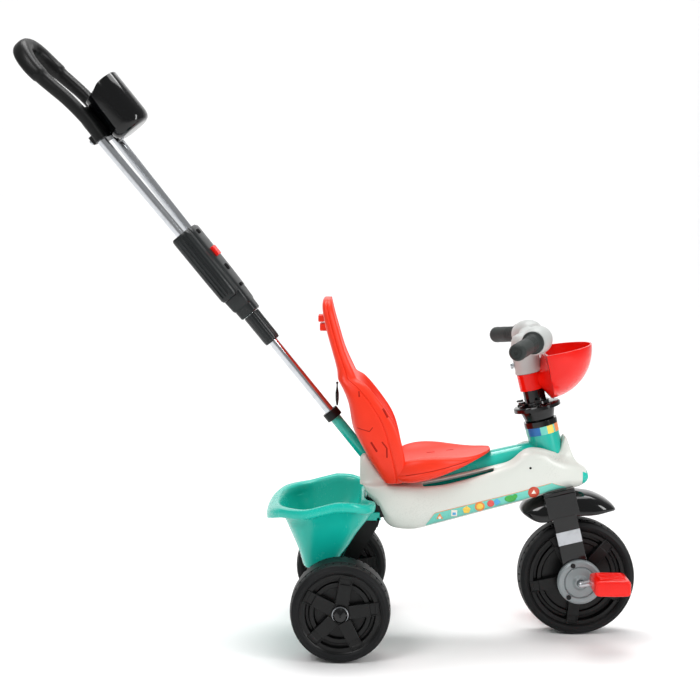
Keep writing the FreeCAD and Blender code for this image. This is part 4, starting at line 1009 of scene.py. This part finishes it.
bm = bmesh.new()
loft(bm, [mudguard_section(a) for a in [row[0] for row in MUDGUARD[:5]] + spaced(-28, 15, 16)
          + [row[0] for row in MUDGUARD[11:]]], False, False)
guard_place = Matrix.Translation(front_axle) @ AS_MADE
piece("mudguard_cover", bm, guard_place, black_gloss, "steering", ["mudguard"], wall=2.4,
      rounds=1)


# ------------------------------------------------------------------ pieces that keep their CAD shape
for node, finish, body, slot, edge in (
        ("fork_leg_left", black_gloss, "steering", "black_plastic", 1.6),
        ("fork_leg_right", black_gloss, "steering", "black_plastic", 1.6),
        ("fork_crown", black_gloss, "steering", "black_plastic", 1.4),
        ("steering_flange", black_gloss, "steering", "black_plastic", 0.5),
        ("hub_cover_left", hub_silver, "steering", "hub_grey", 0.4),
        ("hub_cover_right", hub_silver, "steering", "hub_grey", 0.4),
        ("front_basket", red_gloss, "steering", "red_plastic", 0.9),
        ("rear_bracket", black_satin, "frame", "black_plastic", 0.9),
        ("bar_collar", black_satin, "frame", "black_matte", 0.8),
        ("height_button", red_gloss, "height_button", "red_plastic", 1.0)):
    refined(node + "_finished", node, finish, body, edge)

for finish, names in (
        (teal_coat, ("main_tube", "bar_socket", "head_tube")),
        (black_gloss, ("head_bush_upper", "head_bush_lower", "steering_column", "axle_dome_nuts",
                       "collar_lever")),
        (zinc, ("rear_axle", "axle_washers", "shell_screws", "seat_bolts", "bucket_hinge_pin",
                "fork_band_left", "fork_band_right", "stem_bolt", "crank_rod", "cup_screws")),
        (teal_tub, ("nose_window",)),
        (black_satin, ("hub_cover_screws_left", "hub_cover_screws_right")),
        (nylon, ("rear_bush_left", "rear_bush_right")),
        (chrome, ("lower_tube", "upper_tube_left", "upper_tube_right"))):
    for name in names:
        mesh = nodes[name].data
        mesh.materials.clear()
        mesh.materials.append(finish)


# ------------------------------------------------------------------ studio
SWEEP_REACH, SWEEP_HEIGHT, BEND_START, BEND_RADIUS = 9.0, 6.0, 4.2, 1.8


def studio():
    """Pale paper that runs back from the trike and bends up behind it, in metres."""
    bm = bmesh.new()
    bend = [(BEND_START + BEND_RADIUS * math.sin(a), BEND_RADIUS - BEND_RADIUS * math.cos(a))
            for a in spaced(0, math.pi / 2, 13)]
    profile = [(-SWEEP_REACH, 0.0), (0.0, 0.0)] + bend + [(BEND_START + BEND_RADIUS, SWEEP_HEIGHT)]
    loft(bm, [[Vector((x, y, z)) for x in (-SWEEP_REACH, SWEEP_REACH)] for y, z in profile], False, False)
    bmesh.ops.recalc_face_normals(bm, faces=bm.faces)
    mesh = bpy.data.meshes.new("studio_sweep")
    bm.to_mesh(mesh)
    bm.free()
    mesh.shade_smooth()
    paper = Paint("studio_paper")
    tone = paper.ramp(paper.noise(1.5, 2.0), 0.3, 0.7)
    paper.set("Base Color", paper.tint(tone, (0.93, 0.93, 0.93), (0.95, 0.95, 0.95)))
    paper.set("Roughness", paper.noise(30.0) * 0.05 + 0.75)
    mesh.materials.append(paper.material)
    sweep = bpy.data.objects.new("studio_sweep", mesh)
    bpy.context.scene.collection.objects.link(sweep)


def softbox(name, place, aim, size, power):
    light = bpy.data.lights.new(name, "AREA")
    light.shape = "RECTANGLE"
    light.size, light.size_y = size
    light.energy = power
    lamp = bpy.data.objects.new(name, light)
    lamp.location = place
    lamp.rotation_euler = (Vector(aim) - Vector(place)).to_track_quat("-Z", "Y").to_euler()
    bpy.context.scene.collection.objects.link(lamp)


studio()
softbox("key_box", (-1.5, -2.2, 2.7), (0, 0, 0.4), (1.3, 1.3), 45)
softbox("side_strip", (2.1, -1.5, 1.3), (0, 0, 0.5), (0.5, 1.7), 30)
softbox("top_box", (0.2, 0.5, 3.0), (0, 0, 0.3), (2.2, 1.4), 40)
softbox("back_wash", (0.0, 2.0, 4.6), (0, 5.2, 0.5), (5.0, 1.8), 190)

world = bpy.data.worlds.new("studio_air")
world.use_nodes = True
world.node_tree.nodes["Background"].inputs["Color"].default_value = (1, 1, 1, 1)
world.node_tree.nodes["Background"].inputs["Strength"].default_value = 0.33
scene = bpy.context.scene
scene.world = world
scene.view_settings.view_transform = "Standard"

camera = bpy.data.cameras.new("camera")
camera.sensor_width = 36.0
camera.lens = 77.45
camera.clip_end = 50.0
viewer = bpy.data.objects.new("camera", camera)
viewer.location = (0.03286, -2.5, 0.715)
viewer.rotation_euler = (math.radians(90 - 5.4), 0, 0)
scene.collection.objects.link(viewer)
scene.camera = viewer

bpy.context.view_layer.update()
